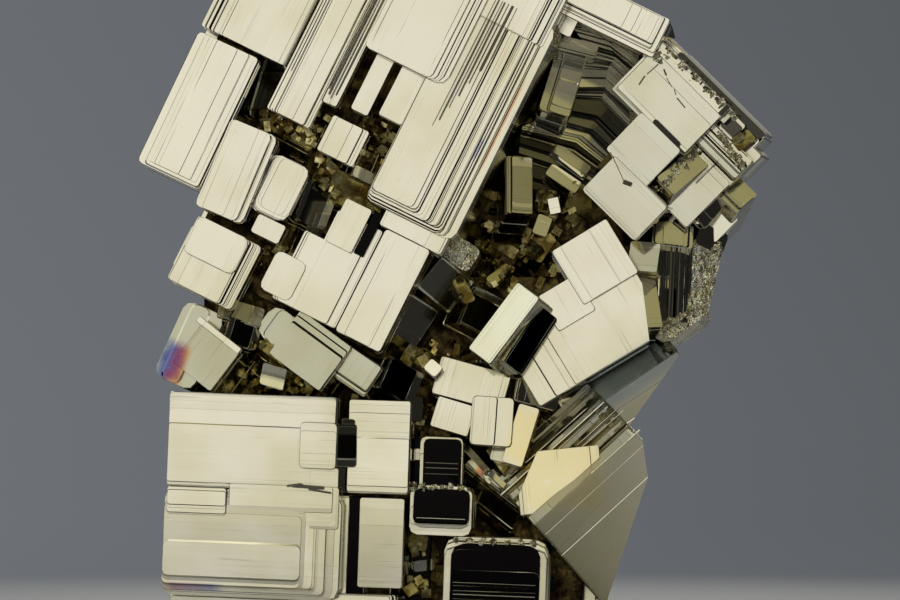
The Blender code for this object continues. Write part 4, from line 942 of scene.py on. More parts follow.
def grow_together(name, meshes, material):
    """One closed mesh: the union of the crystals, cut flat at the ground."""
    scene = bpy.context.scene
    grown = bpy.data.collections.new(name)
    scene.collection.children.link(grown)
    place = (-CENTRE_X * MM, -CENTRE_Y * MM, 0.0)
    items = [bpy.data.objects.new(mesh.name, mesh) for mesh in meshes]
    ground = bpy.data.objects.new("ground", ground_mesh(material))
    for item in items:
        item.location = place
    scene.collection.objects.link(items[0])
    scene.collection.objects.link(ground)
    for item in items[1:]:
        grown.objects.link(item)
    union = boolean(items[0], "grown_together", "UNION")
    union.operand_type = "COLLECTION"
    union.collection = grown
    boolean(items[0], "foot_cut", "DIFFERENCE").object = ground
    graph = bpy.context.evaluated_depsgraph_get()
    mesh = bpy.data.meshes.new_from_object(items[0].evaluated_get(graph))
    mesh.transform(items[0].matrix_world)
    mesh.name = name
    for item in [*items, ground]:
        bpy.data.objects.remove(item)
    bpy.data.collections.remove(grown)
    if not len(mesh.polygons):
        raise RuntimeError(f"{name} came out empty")
    return mesh


def add_piece(name, mesh):
    """Puts a finished mesh into the scene as a piece of the cluster."""
    piece = bpy.data.objects.new(name, mesh)
    bpy.context.scene.collection.objects.link(piece)
    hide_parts(NODE)
    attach(piece, BODY)
    return piece


def grow(name, crystals, along, lines, material):
    """Grows a group of crystals into one piece."""
    settings = bpy.context.scene.pyrite_growth
    meshes = [crystal_mesh(crystal, along, lines, settings, material) for crystal in crystals]
    mesh = grow_together(name, meshes, material)
    return add_piece(name, mesh)


class Signal:
    """A node's output socket.  Arithmetic on it adds Math nodes."""

    def __init__(self, tree, socket=None):
        self.tree = tree
        self.socket = socket

    def node(self, kind, settings=(), inputs=(), output=0):
        """Adds a node: first its settings, then its sockets' values or links."""
        made = self.tree.nodes.new(kind)
        for name, value in dict(settings).items():
            if name == "stops":
                set_stops(made.color_ramp, value)
            else:
                setattr(made, name, value)
        self.fill(made, inputs)
        return Signal(self.tree, made.outputs[output])

    def fill(self, node, inputs):
        """Gives a node's sockets their values or links."""
        for name, value in dict(inputs).items():
            if isinstance(value, Signal):
                self.tree.links.new(value.socket, node.inputs[name])
            else:
                node.inputs[name].default_value = value

    def place(self):
        """Where a point lies in its object."""
        return self.node("ShaderNodeTexCoord", output="Object")

    def value_of(self, name):
        """A value that the mesh holds for each face."""
        return self.node("ShaderNodeAttribute", {"attribute_name": name}, output="Fac")

    def part(self, axis):
        """One part of this vector."""
        return self.node("ShaderNodeSeparateXYZ", {}, {0: self}, axis)

    def dot(self, axis):
        """How far this vector reaches along an axis."""
        return self.vector("DOT_PRODUCT", tuple(axis), output="Value")

    def bump(self, distance):
        """A bumpy normal, by this height and the depth of its bumps."""
        inputs = {"Strength": 1.0, "Distance": distance, "Height": self}
        return self.node("ShaderNodeBump", {}, inputs)

    def math(self, operation, *values):
        """A Math node on some values."""
        return self.node("ShaderNodeMath", {"operation": operation}, enumerate(values))

    def vector(self, operation, *values, output=0):
        """A Vector Math node on this vector and some values."""
        inputs = enumerate((self, *values))
        return self.node("ShaderNodeVectorMath", {"operation": operation}, inputs, output)

    def absolute(self):
        """The value without its sign."""
        return self.math("ABSOLUTE", self)

    def mix(self, low, high):
        """A colour between low and high, by this factor."""
        return self.node("ShaderNodeMix", {"data_type": "RGBA"}, {0: self, 6: low, 7: high}, 2)

    def between(self, low, high):
        """Zero below low and one above high, with a smooth rise between them."""
        inputs = {0: self, 1: low, 2: high, 3: 0.0, 4: 1.0}
        return self.node("ShaderNodeMapRange", {"interpolation_type": "SMOOTHSTEP"}, inputs)

    def __add__(self, other):
        return self.math("ADD", self, other)

    def __radd__(self, other):
        return self.math("ADD", other, self)

    def __sub__(self, other):
        return self.math("SUBTRACT", self, other)

    def __rsub__(self, other):
        return self.math("SUBTRACT", other, self)

    def __mul__(self, other):
        return self.math("MULTIPLY", self, other)

    def __truediv__(self, other):
        return self.math("DIVIDE", self, other)


def set_stops(ramp, stops):
    """Gives a colour ramp its stops, as (place, colour) pairs."""
    while len(ramp.elements) > 1:
        ramp.elements.remove(ramp.elements[0])
    ramp.elements[0].position, ramp.elements[0].color = stops[0]
    for place, colour in stops[1:]:
        ramp.elements.new(place).color = colour


def colour(*values):
    """An opaque colour."""
    return (*values, 1.0)


def new_material(name):
    """A material with a bare Principled shader, and a Signal to start its nodes from."""
    material = bpy.data.materials.new(name)
    material.use_nodes = True
    tree = material.node_tree
    return material, tree.nodes["Principled BSDF"], Signal(tree)


def wire_metal(start, shader, tint, rough, normal):
    """Gives a metal's shader its colour, its roughness and its bumps."""
    start.fill(shader, {"Metallic": 1.0, "Base Color": tint, "Roughness": rough,
                        "Normal": normal})


def noise(start, vector, scale=1.0, detail=3.0, roughness=0.55):
    """A noise pattern of about 0 to 1 on a vector."""
    inputs = {"Vector": vector, "Scale": scale, "Detail": detail, "Roughness": roughness}
    return start.node("ShaderNodeTexNoise", {}, inputs, "Fac")


class Film(NamedTuple):
    """A thin film of tarnish on the metal."""
    frame: Frame
    middle: tuple           # in u and v
    reach: tuple            # in u and v, on either side of the middle
    span: tuple             # which of the film's colours it shows, from side to side
    strength: float


FILMS = (
    Film(UPPER, (8.05, 6.6), (0.16, 6.4), (0.12, 0.42), 0.75),
    Film(UPPER, (7.0, 3.6), (0.22, 1.4), (0.62, 0.95), 0.6),
    Film(Frame(-28.0, 25.7, 20.0), (0.0, 0.0), (1.9, 2.7), (1.0, 0.1), 0.95),
    Film(Frame(11.0, 14.2), (0.0, 0.0), (5.5, 4.4), (0.0, 0.03), 0.6),
    Film(Frame(7.1, 18.4, 17.0), (0.0, 0.0), (1.6, 3.4), (0.0, 0.03), 0.6),
    Film(LOWER, (2.6, 3.4), (3.6, 0.5), (0.4, 0.9), 0.6),
    Film(LOWER, (31.0, 15.8), (0.5, 0.8), (0.1, 0.6), 0.6),
    Film(Frame(19.0, 25.0, -33.0), (0.0, 0.0), (8.0, 2.6), (1.0, 1.0), 0.6),
)
FILM_COLOURS = (
    (0.0, (0.86, 0.74, 0.34, 1.0)),
    (0.25, (0.80, 0.36, 0.08, 1.0)),
    (0.48, (0.36, 0.07, 0.22, 1.0)),
    (0.70, (0.12, 0.15, 0.42, 1.0)),
    (1.0, (0.42, 0.50, 0.56, 1.0)),
)


def place_in(place, orientation):
    """How far a point lies along the u and the v of an orientation, in millimetres."""
    middle = Vector((orientation.x - CENTRE_X, 0.0, orientation.z)) * MM
    for axis in axes_of(orientation.roll, 0.0, 0.0)[:2]:
        yield (place.dot(axis) - axis.dot(middle)) / MM


def film(start, place, cloud, metal, spot):
    """The metal with a film on it: its colours run across the film, ragged by a noise."""
    ragged = noise(start, place, 900.0, roughness=0.6)
    mask = ragged.between(0.20, 0.40)
    parts = []
    for part, centre, width in zip(place_in(place, spot.frame), spot.middle, spot.reach):
        away = (part - centre) / width
        parts.append(away)
        mask = mask * (1 - away.absolute().between(0.5, 1.0))
    across = parts[0] * 0.5 + 0.5 + (cloud - 0.5) * 0.5 + (ragged - 0.5) * 0.5
    first, last = spot.span
    shade = start.node("ShaderNodeValToRGB", {"stops": FILM_COLOURS},
                       {0: across * (last - first) + first}, "Color")
    return (mask * spot.strength).mix(metal, shade)


SHADED_CLEFT_WIDTH = 1.2 * MM    # width of the clefts that get painted shade
# The metal's patterns: how often each repeats across and along the grain, for each
# millimetre
BROAD_GRAIN = (2.2, 0.02, 0.0)
FINE_GRAIN = (16.0, 0.15, 0.0)
HAIR_GRAIN = (4.0, 0.015, 0.0)
PATCH_GRAIN = (0.35, 0.12, 0.0)


def pyrite_metal():
    """Pyrite: polished pale metal, striated along its grain, tarnished here and there."""
    if "pyrite_metal" in bpy.data.materials:
        return bpy.data.materials["pyrite_metal"]
    settings = bpy.context.scene.pyrite_metal
    grime_and_shade = colour(*settings.grime_and_shade)
    material, shader, start = new_material("pyrite_metal")
    place = start.place()
    grain = start.node("ShaderNodeUVMap", {"uv_map": "grain"})
    tone = start.value_of("tone")
    broad = noise(start, grain.vector("MULTIPLY", BROAD_GRAIN))
    fine = noise(start, grain.vector("MULTIPLY", FINE_GRAIN), detail=2.0)
    cloud = noise(start, place, 120.0, detail=2.0)
    speck = noise(start, place, 3000.0, roughness=0.7)
    hairs = noise(start, grain.vector("MULTIPLY", HAIR_GRAIN), detail=1.0)
    patches = noise(start, grain.vector("MULTIPLY", PATCH_GRAIN), detail=2.0)
    etched = (1 - (hairs - 0.5).absolute().between(0.0, 0.016)) * patches.between(0.5, 0.62)
    pits = speck.between(0.72, 0.78)
    # The cluster is more tarnished near its foot
    low = 1 - place.part("Z").between(0.012, 0.055)
    tarnish = (cloud * 0.8 + tone * 0.06 + broad * 0.12 + low * 0.16).between(0.34, 0.84)
    metal = tarnish.mix(colour(*settings.bright), colour(*settings.brass))
    for spot in FILMS:
        metal = film(start, place, cloud, metal, spot)
    worn = (etched * 0.25 + pits * 0.3).mix(metal, grime_and_shade)
    # Painted shade: where ambient occlusion finds a cleft or crease, the colour darkens towards
    # grime and the metal gets rougher
    open_air = start.node("ShaderNodeAmbientOcclusion", {"samples": 4, "only_local": False},
                          {"Distance": SHADED_CLEFT_WIDTH}, "AO")
    cleft = 1 - open_air.between(0.05, 0.34)
    # Stains, and painted shade on shaded faces and dark risers, turn the colour black
    stain = start.value_of("stain")
    stained_and_shaded = stain.mix((cleft * 0.85).mix(worn, grime_and_shade), colour(*settings.black))
    rough = settings.roughness + fine * 0.03 + tone * 0.008 + pits * 0.15 + cleft * 0.3
    height = broad * 0.5 + fine * 0.1 - etched * 0.3 - pits * 0.3 + cloud * 8.0
    wire_metal(start, shader, stained_and_shaded, rough, height.bump(settings.relief))
    return material


def rough_metal(name, low, high, scale, polish, height):
    """Broken metal: two colours in patches of some scale, polished on its high spots."""
    if name in bpy.data.materials:
        return bpy.data.materials[name]
    material, shader, start = new_material(name)
    place = start.place()
    stain = noise(start, place, scale, detail=4.0, roughness=0.6)
    bits = noise(start, place, scale * 3.5, roughness=0.65)
    stained = stain.between(0.42, 0.60).mix(colour(*low), colour(*high))
    rough = polish + (1 - bits.between(0.42, 0.62)) * 0.22
    wire_metal(start, shader, stained, rough, (stain + bits * 0.4).bump(height))
    return material


def cleft_metal():
    """The dark rock at the bottom of the clefts: a stain, and painted shade of the clefts."""
    settings = bpy.context.scene.pyrite_metal
    return rough_metal("cleft_metal", settings.grime_and_shade, settings.cleft, scale=420.0, polish=0.28,
                       height=0.00014)


def chip_metal():
    """Small broken crystals, brassy or stained brown."""
    settings = bpy.context.scene.pyrite_metal
    return rough_metal("chip_metal", settings.chip_low, settings.chip, scale=500.0, polish=0.12,
                       height=0.000012)


def broken_metal():
    """Pale conchoidal breaks."""
    settings = bpy.context.scene.pyrite_metal
    return rough_metal("broken_metal", settings.brass, settings.bright, scale=300.0, polish=0.07,
                       height=0.001)


# Clefts that are filled with broken bits: the middle and reach in x and z, the
# number of bits, their least and greatest size, in millimetres, and the mean roll
CLEFTS = (
    (-17.9, 53.0, 1.6, 2.6, 26, 0.5, 1.4, 26.0),
    (-16.0, 49.8, 3.6, 1.6, 60, 0.4, 1.3, 26.0),
    (-11.6, 48.6, 3.2, 1.5, 60, 0.4, 1.2, 26.0),
    (-7.6, 49.6, 2.0, 1.6, 34, 0.4, 1.1, 26.0),
    (-7.4, 46.4, 1.5, 3.4, 34, 0.4, 1.2, 26.0),
    (-12.4, 44.6, 1.8, 2.2, 30, 0.5, 1.4, 26.0),
    (-5.6, 40.0, 1.6, 1.6, 30, 0.4, 1.0, 26.0),
    (-17.6, 36.4, 1.4, 3.2, 26, 0.4, 1.2, 26.0),
    (-19.0, 28.6, 4.6, 2.4, 60, 0.6, 1.8, 30.0),
    (-14.0, 23.2, 9.0, 1.4, 90, 0.4, 1.2, 20.0),
    (-2.6, 26.0, 3.4, 2.6, 50, 0.5, 1.6, 30.0),
    (1.0, 36.0, 3.4, 3.6, 90, 0.5, 1.6, 34.0),
    (6.6, 38.0, 6.0, 6.0, 130, 0.6, 2.2, 30.0),
    (10.6, 50.0, 6.0, 8.0, 110, 0.6, 2.4, 28.0),
    (-15.0, 13.0, 3.2, 0.9, 36, 0.3, 0.9, 2.0),
    (-9.4, 6.0, 1.2, 5.6, 44, 0.3, 1.0, 2.0),
    (-9.6, 17.0, 0.9, 3.0, 20, 0.3, 0.8, 2.0),
    (-2.6, 4.0, 2.0, 4.6, 50, 0.5, 1.5, 2.0),
    (-2.6, 20.0, 1.6, 3.6, 34, 0.4, 1.1, 12.0),
    (4.6, 12.4, 4.0, 3.4, 70, 0.6, 1.8, -20.0),
    (9.6, 20.0, 3.0, 2.4, 40, 0.5, 1.4, -20.0),
    (20.0, 57.0, 3.4, 3.4, 50, 0.5, 1.4, 45.0),
    (21.4, 43.0, 3.2, 2.4, 60, 0.5, 1.4, 45.0),
    (28.6, 47.6, 2.4, 5.0, 60, 0.5, 1.5, 45.0),
    (22.0, 33.0, 3.6, 4.6, 80, 0.5, 1.6, 30.0),
)
# Lines along which pale crumbs lie: both ends in x and z, the crumbs' roll and the
# distance that they stray
CRUMB_LINES = (((24.9, 46.9), (21.0, 43.2), 45.0, 0.5), ((18.8, 58.6), (21.2, 56.4), 45.0, 0.5),
               ((20.8, 58.2), (28.6, 50.6), 45.0, 0.5), ((27.4, 48.6), (29.4, 45.6), 45.0, 0.5),
               ((26.9, 37.2), (25.6, 31.4), 45.0, 0.5), ((25.6, 31.6), (22.0, 29.2), 45.0, 0.5),
               ((-3.6, 13.25), (2.0, 13.05), 2.0, 0.25), ((0.6, 7.75), (8.4, 7.45), 2.0, 0.3))
CRUMBS = tuple((x, z, stray, stray, 14, 0.12, 0.55, roll)
               for *ends, roll, stray in CRUMB_LINES for x, z in np.linspace(*ends, 7))
LOOK_FROM = -200 * MM     # where the rays start that find the places of the bits
LOWEST_BIT = 0.5 * MM
FLATTEST = 0.5            # least side of a bit, as a share of its size
BIT_TILT = 0.35           # usual tilt of a bit, in radians
BIT_RISE = 0.1            # how far a bit's middle stands out, as a share of its size
CUBE = np.array([(x, y, z) for x in (-0.5, 0.5) for y in (-0.5, 0.5) for z in (-0.5, 0.5)])
CUBE_FACES = np.array([(0, 1, 3, 2), (4, 6, 7, 5), (0, 4, 5, 1), (2, 3, 7, 6), (0, 2, 6, 4),
                       (1, 5, 7, 3)])


def turned(roll, tilt, draw):
    """A rotation: the mean roll in the plane of the face, then a random tilt."""
    turn = Euler(draw.normal(0.0, tilt, 3)).to_matrix()
    return np.array(turn @ Matrix.Rotation(math.radians(roll), 3, "Y"))


def surface_at(graph, x, z, carriers):
    """Where a ray from the front first meets the cluster, if that is on a carrier."""
    start = Vector((x, LOOK_FROM, z))
    hit, place, _, _, item, _ = bpy.context.scene.ray_cast(graph, start, Vector((0, 1, 0)))
    return place if hit and item.name in carriers else None


def wall_lines(ledges, bands):
    """The lines of a stepped wall, from the top down, and how dark the band below each is.

    Each line runs through three points, which are the main ledges' points mixed
    by the line's share of the band.  Going down a ledge the wall comes forward by
    its slope; the riser below it goes back to the band's own depth.
    """
    draw = np.random.default_rng(23)
    lines, stains = [], []
    for index, (count, clean) in enumerate(bands):
        (above, out_above), (below, out_below) = ledges[index], ledges[index + 1]
        above, below = np.array(above), np.array(below)
        cuts = np.append(0, np.cumsum(draw.dirichlet(np.full(count, LEDGE_SPREAD))))
        tall = np.linalg.norm(below - above, axis=1).mean()
        for top, foot in zip(cuts[:-1], cuts[1:]):
            riser = min(LEDGE_RISER * (foot - top), MOST_RISER / tall)
            out = out_above + (out_below - out_above) * top
            for share, forward in ((top, 0.0), (foot - riser, (foot - top) * tall * LEDGE_SLOPE)):
                corners = above + (below - above) * share
                bend = corners[1][0]
                lines.append([(x, -(out + forward + WALL_TURN * abs(x - bend)), z)
                              for x, z in corners])
            ledge = CLEAN_LEDGE if draw.uniform() < clean else STAINED_LEDGE
            # A ledge gets its stain, and its riser painted shade
            stains += [draw.uniform(*ledge), RISER_SHADE]
    return np.array(lines), stains


def sheet_quads(sheet):
    """The faces of a sheet of points, which is given as rows of point numbers."""
    cells = (sheet[:-1, :-1], sheet[1:, :-1], sheet[1:, 1:], sheet[:-1, 1:])
    return np.stack(cells, axis=-1).reshape(-1, 4)


def stepped_wall(name, ledges, bands, material):
    """A wall of long bent ledges: a function of line and column, closed at its back."""
    front, stains = wall_lines(ledges, bands)
    back = front.copy()
    back[..., 1] = -WALL_ROOT
    rows, columns = front.shape[:2]
    points = np.concatenate([front, back]).reshape(-1, 3)
    index = np.arange(len(points)).reshape(2, rows, columns)
    sheets = sheet_quads(index[0]), sheet_quads(index[1])[:, ::-1]
    rim = np.concatenate([index[:, :, 0].T, index[:, -1, 1:].T, index[:, -2::-1, -1].T,
                          index[:, 0, -2::-1].T])
    around = np.stack([rim[:-1, 0], rim[:-1, 1], rim[1:, 1], rim[1:, 0]], axis=-1)
    quads = np.concatenate([*sheets, around])
    # The ledges keep their stains; the risers and the rim get painted shade
    stain = [np.repeat(stains[:rows - 1], columns - 1), np.zeros(len(sheets[1])),
             np.full(len(around), RISER_SHADE)]
    mesh = mesh_of(name, (points - (CENTRE_X, CENTRE_Y, 0.0)) * MM, quads.tolist(), material)
    map_grain(mesh, points[quads.reshape(-1)][:, [2, 0]])
    mark_faces(mesh, "stain", np.concatenate(stain))
    return add_piece(name, mesh)


def strew_bits(name, clefts, carriers, material):
    """Small broken crystals: a cube's eight corners, stretched, turned and set on the rock."""
    graph = bpy.context.evaluated_depsgraph_get()
    draw = np.random.default_rng(11)
    points = []
    for x, z, reach_x, reach_z, count, small, large, roll in clefts:
        places = draw.normal(0.0, 0.5, (count, 2)).clip(-1, 1) * (reach_x, reach_z) + (x, z)
        sizes = small + (large - small) * draw.uniform(0, 1, count) ** 2
        for place, size in zip((places - (CENTRE_X, 0.0)) * MM, sizes * MM):
            seat = surface_at(graph, *place, carriers)
            if seat is None or seat.z <= LOWEST_BIT:
                continue
            stretch = draw.uniform(FLATTEST, 1.0, 3) * size
            corners = (CUBE * stretch) @ turned(roll, BIT_TILT, draw).T
            points.append(corners + np.array(seat) + (0.0, -BIT_RISE * size, 0.0))
    faces = np.concatenate([CUBE_FACES + len(CUBE) * index for index in range(len(points))])
    return add_piece(name, mesh_of(name, np.concatenate(points), faces.tolist(), material))


class Softbox(NamedTuple):
    """A soft box, by its directions and angles in degrees."""
    azimuth: float          # of its middle, from the front to the right
    elevation: float
    half_width: float
    half_height: float
    soft: float             # the softness of its edge
    tint: tuple
    strength: float


WARM = (1.0, 0.98, 0.94)
SOFTBOXES = (
    Softbox(-4.6, 14.0, 9.0, 22.0, 7.0, (1.0, 0.985, 0.94), 0.85),
    Softbox(-27.0, 14.0, 14.0, 22.0, 10.0, (0.98, 1.0, 0.90), 0.58),
    Softbox(-56.0, 31.0, 11.0, 14.0, 10.0, (0.97, 1.0, 0.93), 0.95),
    Softbox(20.0, 46.0, 26.0, 15.0, 10.0, (1.0, 0.94, 0.50), 0.32),
    Softbox(15.0, 24.0, 9.0, 9.0, 4.0, (1.0, 0.93, 0.46), 0.30),
    Softbox(-90.0, 48.0, 16.0, 16.0, 12.0, (0.95, 0.95, 0.85), 0.5),
    Softbox(175.0, 58.0, 30.0, 22.0, 14.0, WARM, 1.5),
    Softbox(165.0, 20.0, 34.0, 12.0, 14.0, WARM, 0.85),
    Softbox(-140.0, 24.0, 16.0, 16.0, 12.0, (0.96, 1.0, 0.95), 0.5),
    Softbox(90.0, 40.0, 16.0, 22.0, 12.0, WARM, 0.2),
)
OVERHEAD = (0.42, 0.48, 0.60)     # light from above
OVERHEAD_EDGE = (0.84, 0.97)      # how steeply upwards it starts and is full
AMBIENT = (0.014, 0.014, 0.014)   # the dark room
AHEAD = (0.05, 0.2)               # how far forwards a ray looks that can meet a box


def direction_of(azimuth, elevation):
    """A direction by its azimuth from the front, to the right, and its elevation."""
    azimuth, elevation = math.radians(azimuth), math.radians(elevation)
    flat = math.cos(elevation)
    return Vector((math.sin(azimuth) * flat, -math.cos(azimuth) * flat, math.sin(elevation)))


def softbox(way, box):
    """How much of a softbox a ray meets, from 0 to 1."""
    forward = direction_of(box.azimuth, box.elevation)
    side = direction_of(box.azimuth + 90.0, 0.0)
    up = forward.cross(side) if forward.cross(side).z > 0 else side.cross(forward)
    ahead = way.dot(forward)
    mask = ahead.between(*AHEAD)
    for axis, half in ((side, box.half_width), (up, box.half_height)):
        reach = (way.dot(axis) / ahead).absolute()
        inner, outer = (math.tan(math.radians(half + part * box.soft / 2)) for part in (-1, 1))
        mask = mask * (1 - reach.between(inner, outer))
    return mask


def studio_light(settings):
    """The room's light: soft boxes in a dark room, by direction."""
    world = bpy.data.worlds.new("studio")
    world.use_nodes = True
    start = Signal(world.node_tree)
    way = start.node("ShaderNodeTexCoord", output="Generated")
    light = way.part("Z").between(*OVERHEAD_EDGE).mix(colour(*AMBIENT), colour(*OVERHEAD))
    for box in SOFTBOXES:
        tint = colour(*(part * box.strength for part in box.tint))
        glow = softbox(way, box).mix(BLACK, tint)
        light = start.node("ShaderNodeMix", {"data_type": "RGBA", "blend_type": "ADD"},
                           {0: 1.0, 6: light, 7: glow}, 2)
    start.fill(world.node_tree.nodes["Background"], {"Color": light, "Strength": settings.light})
    bpy.context.scene.world = world


# The stage, in metres
FLOOR_LEVEL = -0.0002
FLOOR_RADII = (1e-4, 0.3, 0.9)
FLOOR_FADE = (0.035, 0.13)        # where the floor's paint turns into the backdrop's glow
BACKDROP_FOOT = 1.2               # radius at which the backdrop starts to rise
BACKDROP_BEND = 1.4               # radius of its bend
BACKDROP_TOP = ((2.6, 4.0), (0.01, 4.2))
BEND_PARTS = 24
TURN_PARTS = 96
NEAREST_GLOW = 0.3                # the glow is even up to this far behind the middle
GLOW_FROM = 0.766                 # it is drawn as seen from this far in front of the middle
GLOW_MIDDLE = 1.03                # strength of the glow at the middle
GLOW_RIGHT = 2.6                  # how fast it falls to the right and upwards
GLOW_UP = 1.6
GLOW_RANGE = (0.75, 1.25)
BLACK = (0.0, 0.0, 0.0, 1.0)
LENS = 300.0                      # focal length and width of the sensor, in millimetres
SENSOR = 36.0
CLIP = (0.05, 20.0)
CAMERA_PLACE = (-CENTRE_X * MM, -0.76593, 0.032)


def revolved(name, profile, material):
    """A profile of (radius, height) pairs carried round the upright axis."""
    turns = np.linspace(0, 2 * math.pi, TURN_PARTS, endpoint=False)
    points = [[(radius * math.cos(turn), radius * math.sin(turn), height) for turn in turns]
              for radius, height in profile]
    quads = quads_of(len(profile), TURN_PARTS)
    mesh = mesh_of(name, np.array(points), quads.tolist(), material)
    mesh.polygons.foreach_set("use_smooth", np.ones(len(quads), bool))
    item = bpy.data.objects.new(name, mesh)
    bpy.context.scene.collection.objects.link(item)
    return item


def floor_paint(near, far, reach):
    """Matt paint near the middle, which turns into the backdrop's glow further out."""
    material, shader, start = new_material("floor_paint")
    place = start.place()
    away = place.vector("LENGTH", output="Value").between(*reach)
    paint = away.mix(colour(*near), BLACK)
    glow = away.mix(BLACK, backdrop_glow(place, far))
    start.fill(shader, {"Base Color": paint, "Roughness": 0.9, "Specular IOR Level": 0.0,
                        "Emission Color": glow, "Emission Strength": 1.0})
    return material


def backdrop_glow(place, tint):
    """The backdrop's glow, painted light that darkens to the right and upwards."""
    away = place.part("Y")
    away = away.math("MAXIMUM", away, NEAREST_GLOW) + GLOW_FROM
    level = GLOW_MIDDLE - place.part("X") / away * GLOW_RIGHT - place.part("Z") / away * GLOW_UP
    darkest, lightest = GLOW_RANGE
    level = level.math("MINIMUM", level.math("MAXIMUM", level, darkest), lightest)
    inputs = {"Vector": tint, "Scale": level}
    return place.node("ShaderNodeVectorMath", {"operation": "SCALE"}, inputs, "Vector")


def glow_paint(tint):
    """A backdrop that glows by itself."""
    material, shader, start = new_material("backdrop_paint")
    start.fill(shader, {"Base Color": BLACK, "Specular IOR Level": 0.0,
                        "Emission Color": backdrop_glow(start.place(), tint),
                        "Emission Strength": 1.0})
    return material


def build_stage(settings):
    """The floor, the backdrop, the light and the camera."""
    floor = [(radius, FLOOR_LEVEL) for radius in FLOOR_RADII]
    revolved("floor", floor, floor_paint(settings.floor, settings.wall, FLOOR_FADE))
    bend = [(BACKDROP_FOOT + BACKDROP_BEND * math.sin(turn), BACKDROP_BEND * (1 - math.cos(turn)))
            for turn in np.linspace(0.0, math.pi / 2, BEND_PARTS)]
    profile = [(FLOOR_RADII[-1], 2 * FLOOR_LEVEL), *bend, *BACKDROP_TOP]
    backdrop = revolved("backdrop", profile, glow_paint(settings.wall))
    for kind in ("visible_diffuse", "visible_glossy", "visible_transmission", "visible_shadow"):
        setattr(backdrop, kind, False)
    studio_light(settings)
    lens = bpy.data.cameras.new("camera")
    lens.lens = LENS
    lens.sensor_width = SENSOR
    lens.clip_start, lens.clip_end = CLIP
    camera = bpy.data.objects.new("camera", lens)
    camera.location = CAMERA_PLACE
    camera.rotation_euler = (math.pi / 2, 0.0, 0.0)
    scene = bpy.context.scene
    scene.collection.objects.link(camera)
    scene.camera = camera
    scene.view_settings.view_transform = "Standard"


def number_setting(name, description, default, **limits):
    """A number that the panel shows."""
    return bpy.props.FloatProperty(name=name, description=description, default=default, **limits)


def colour_setting(name, description, default):
    """A colour that the panel shows."""
    return bpy.props.FloatVectorProperty(name=name, description=description, default=default,
                                         subtype="COLOR")


class PyriteGrowth(bpy.types.PropertyGroup):
    """How finely the crystals are stepped."""
    ribs: number_setting("Ribs", "Ribs along a crystal's side, for each millimetre", 0.9)
    rib_depth: number_setting("Rib depth", "Depth of the ribs, in millimetres", 0.07)
    line_height: number_setting("Line height", "Usual height of the face's lines, in millimetres",
                                0.014)
    tread_tilt: number_setting("Tread tilt", "Usual slope of a tread", 0.004)
    jog: number_setting("Jog", "How far the lines stray, in millimetres", 0.02)
    face_lines: number_setting("Face lines", "Lines on a face, for each millimetre", 0.55)


class PyriteMetal(bpy.types.PropertyGroup):
    """The metal's colours and polish."""
    bright: colour_setting("Bright metal", "Colour of a clean face", (0.87, 0.83, 0.68))
    brass: colour_setting("Brassy metal", "Colour of a slightly tarnished face",
                          (0.74, 0.69, 0.47))
    # grime of the pits and hairlines, and the colour of the painted shade in clefts and creases
    grime_and_shade: colour_setting("Grime", "Colour in clefts and pits", (0.016, 0.010, 0.006))
    # black of the stained faces, and of the painted shade on shaded faces
    black: colour_setting("Black stain", "Colour of the black faces", (0.006, 0.005, 0.005))
    # dark brown of the rock in the clefts, partly a stain and partly painted shade
    cleft: colour_setting("Cleft", "Colour of the broken metal in the clefts",
                          (0.14, 0.10, 0.035))
    chip: colour_setting("Chips", "Colour of the small broken crystals", (0.68, 0.60, 0.30))
    chip_low: colour_setting("Stained chips", "Colour of their stained parts", (0.24, 0.17, 0.06))
    roughness: number_setting("Roughness", "Roughness of a clean face", 0.10, subtype="FACTOR",
                              min=0.0, max=1.0)
    relief: number_setting("Relief", "Height of the hairlines", 0.0000007, subtype="DISTANCE")


class PyriteStage(bpy.types.PropertyGroup):
    """The studio round the cluster."""
    floor: colour_setting("Floor", "Colour of the floor round the cluster", (0.50, 0.50, 0.49))
    # colour of the backdrop's painted glow, which the floor's far part shows too
    wall: colour_setting("Backdrop", "Colour of the backdrop", (0.128, 0.136, 0.148))
    light: number_setting("Light", "Strength of the light", 1.0)


class GrowGroup:
    """What the operators that grow a group of crystals share."""
    bl_options = {"REGISTER", "UNDO"}
    piece = ""
    crystals = ()
    along = "v"
    share = 1.0             # how many face lines it has, compared with the others
    metal = staticmethod(pyrite_metal)

    def execute(self, context):
        lines = context.scene.pyrite_growth.face_lines * self.share
        grow(self.piece, self.crystals, self.along, lines, self.metal())
        return {"FINISHED"}


class PYRITE_OT_upper(GrowGroup, bpy.types.Operator):
    """Grow the tall crystals of the upper left"""
    bl_idname = "pyrite.upper"
    bl_label = "Upper crystals"
    piece = "upper_crystals"
    crystals = UPPER_FACES


class PYRITE_OT_lower(GrowGroup, bpy.types.Operator):
    """Grow the broad crystals of the lower left and the posts beside them"""
    bl_idname = "pyrite.lower"
    bl_label = "Lower crystals"
    piece = "lower_crystals"
    crystals = LOWER_FACES
    along = "u"


class PYRITE_OT_tilted(GrowGroup, bpy.types.Operator):
    """Grow the tilted crystals of the middle and the great cube"""
    bl_idname = "pyrite.tilted"
    bl_label = "Tilted crystals"
    piece = "tilted_crystals"
    crystals = SMALL_FACES


class PYRITE_OT_east(GrowGroup, bpy.types.Operator):
    """Grow the lattice of the upper right"""
    bl_idname = "pyrite.east"
    bl_label = "Right-hand crystals"
    piece = "east_crystals"
    crystals = EAST_FACES
    along = "u"


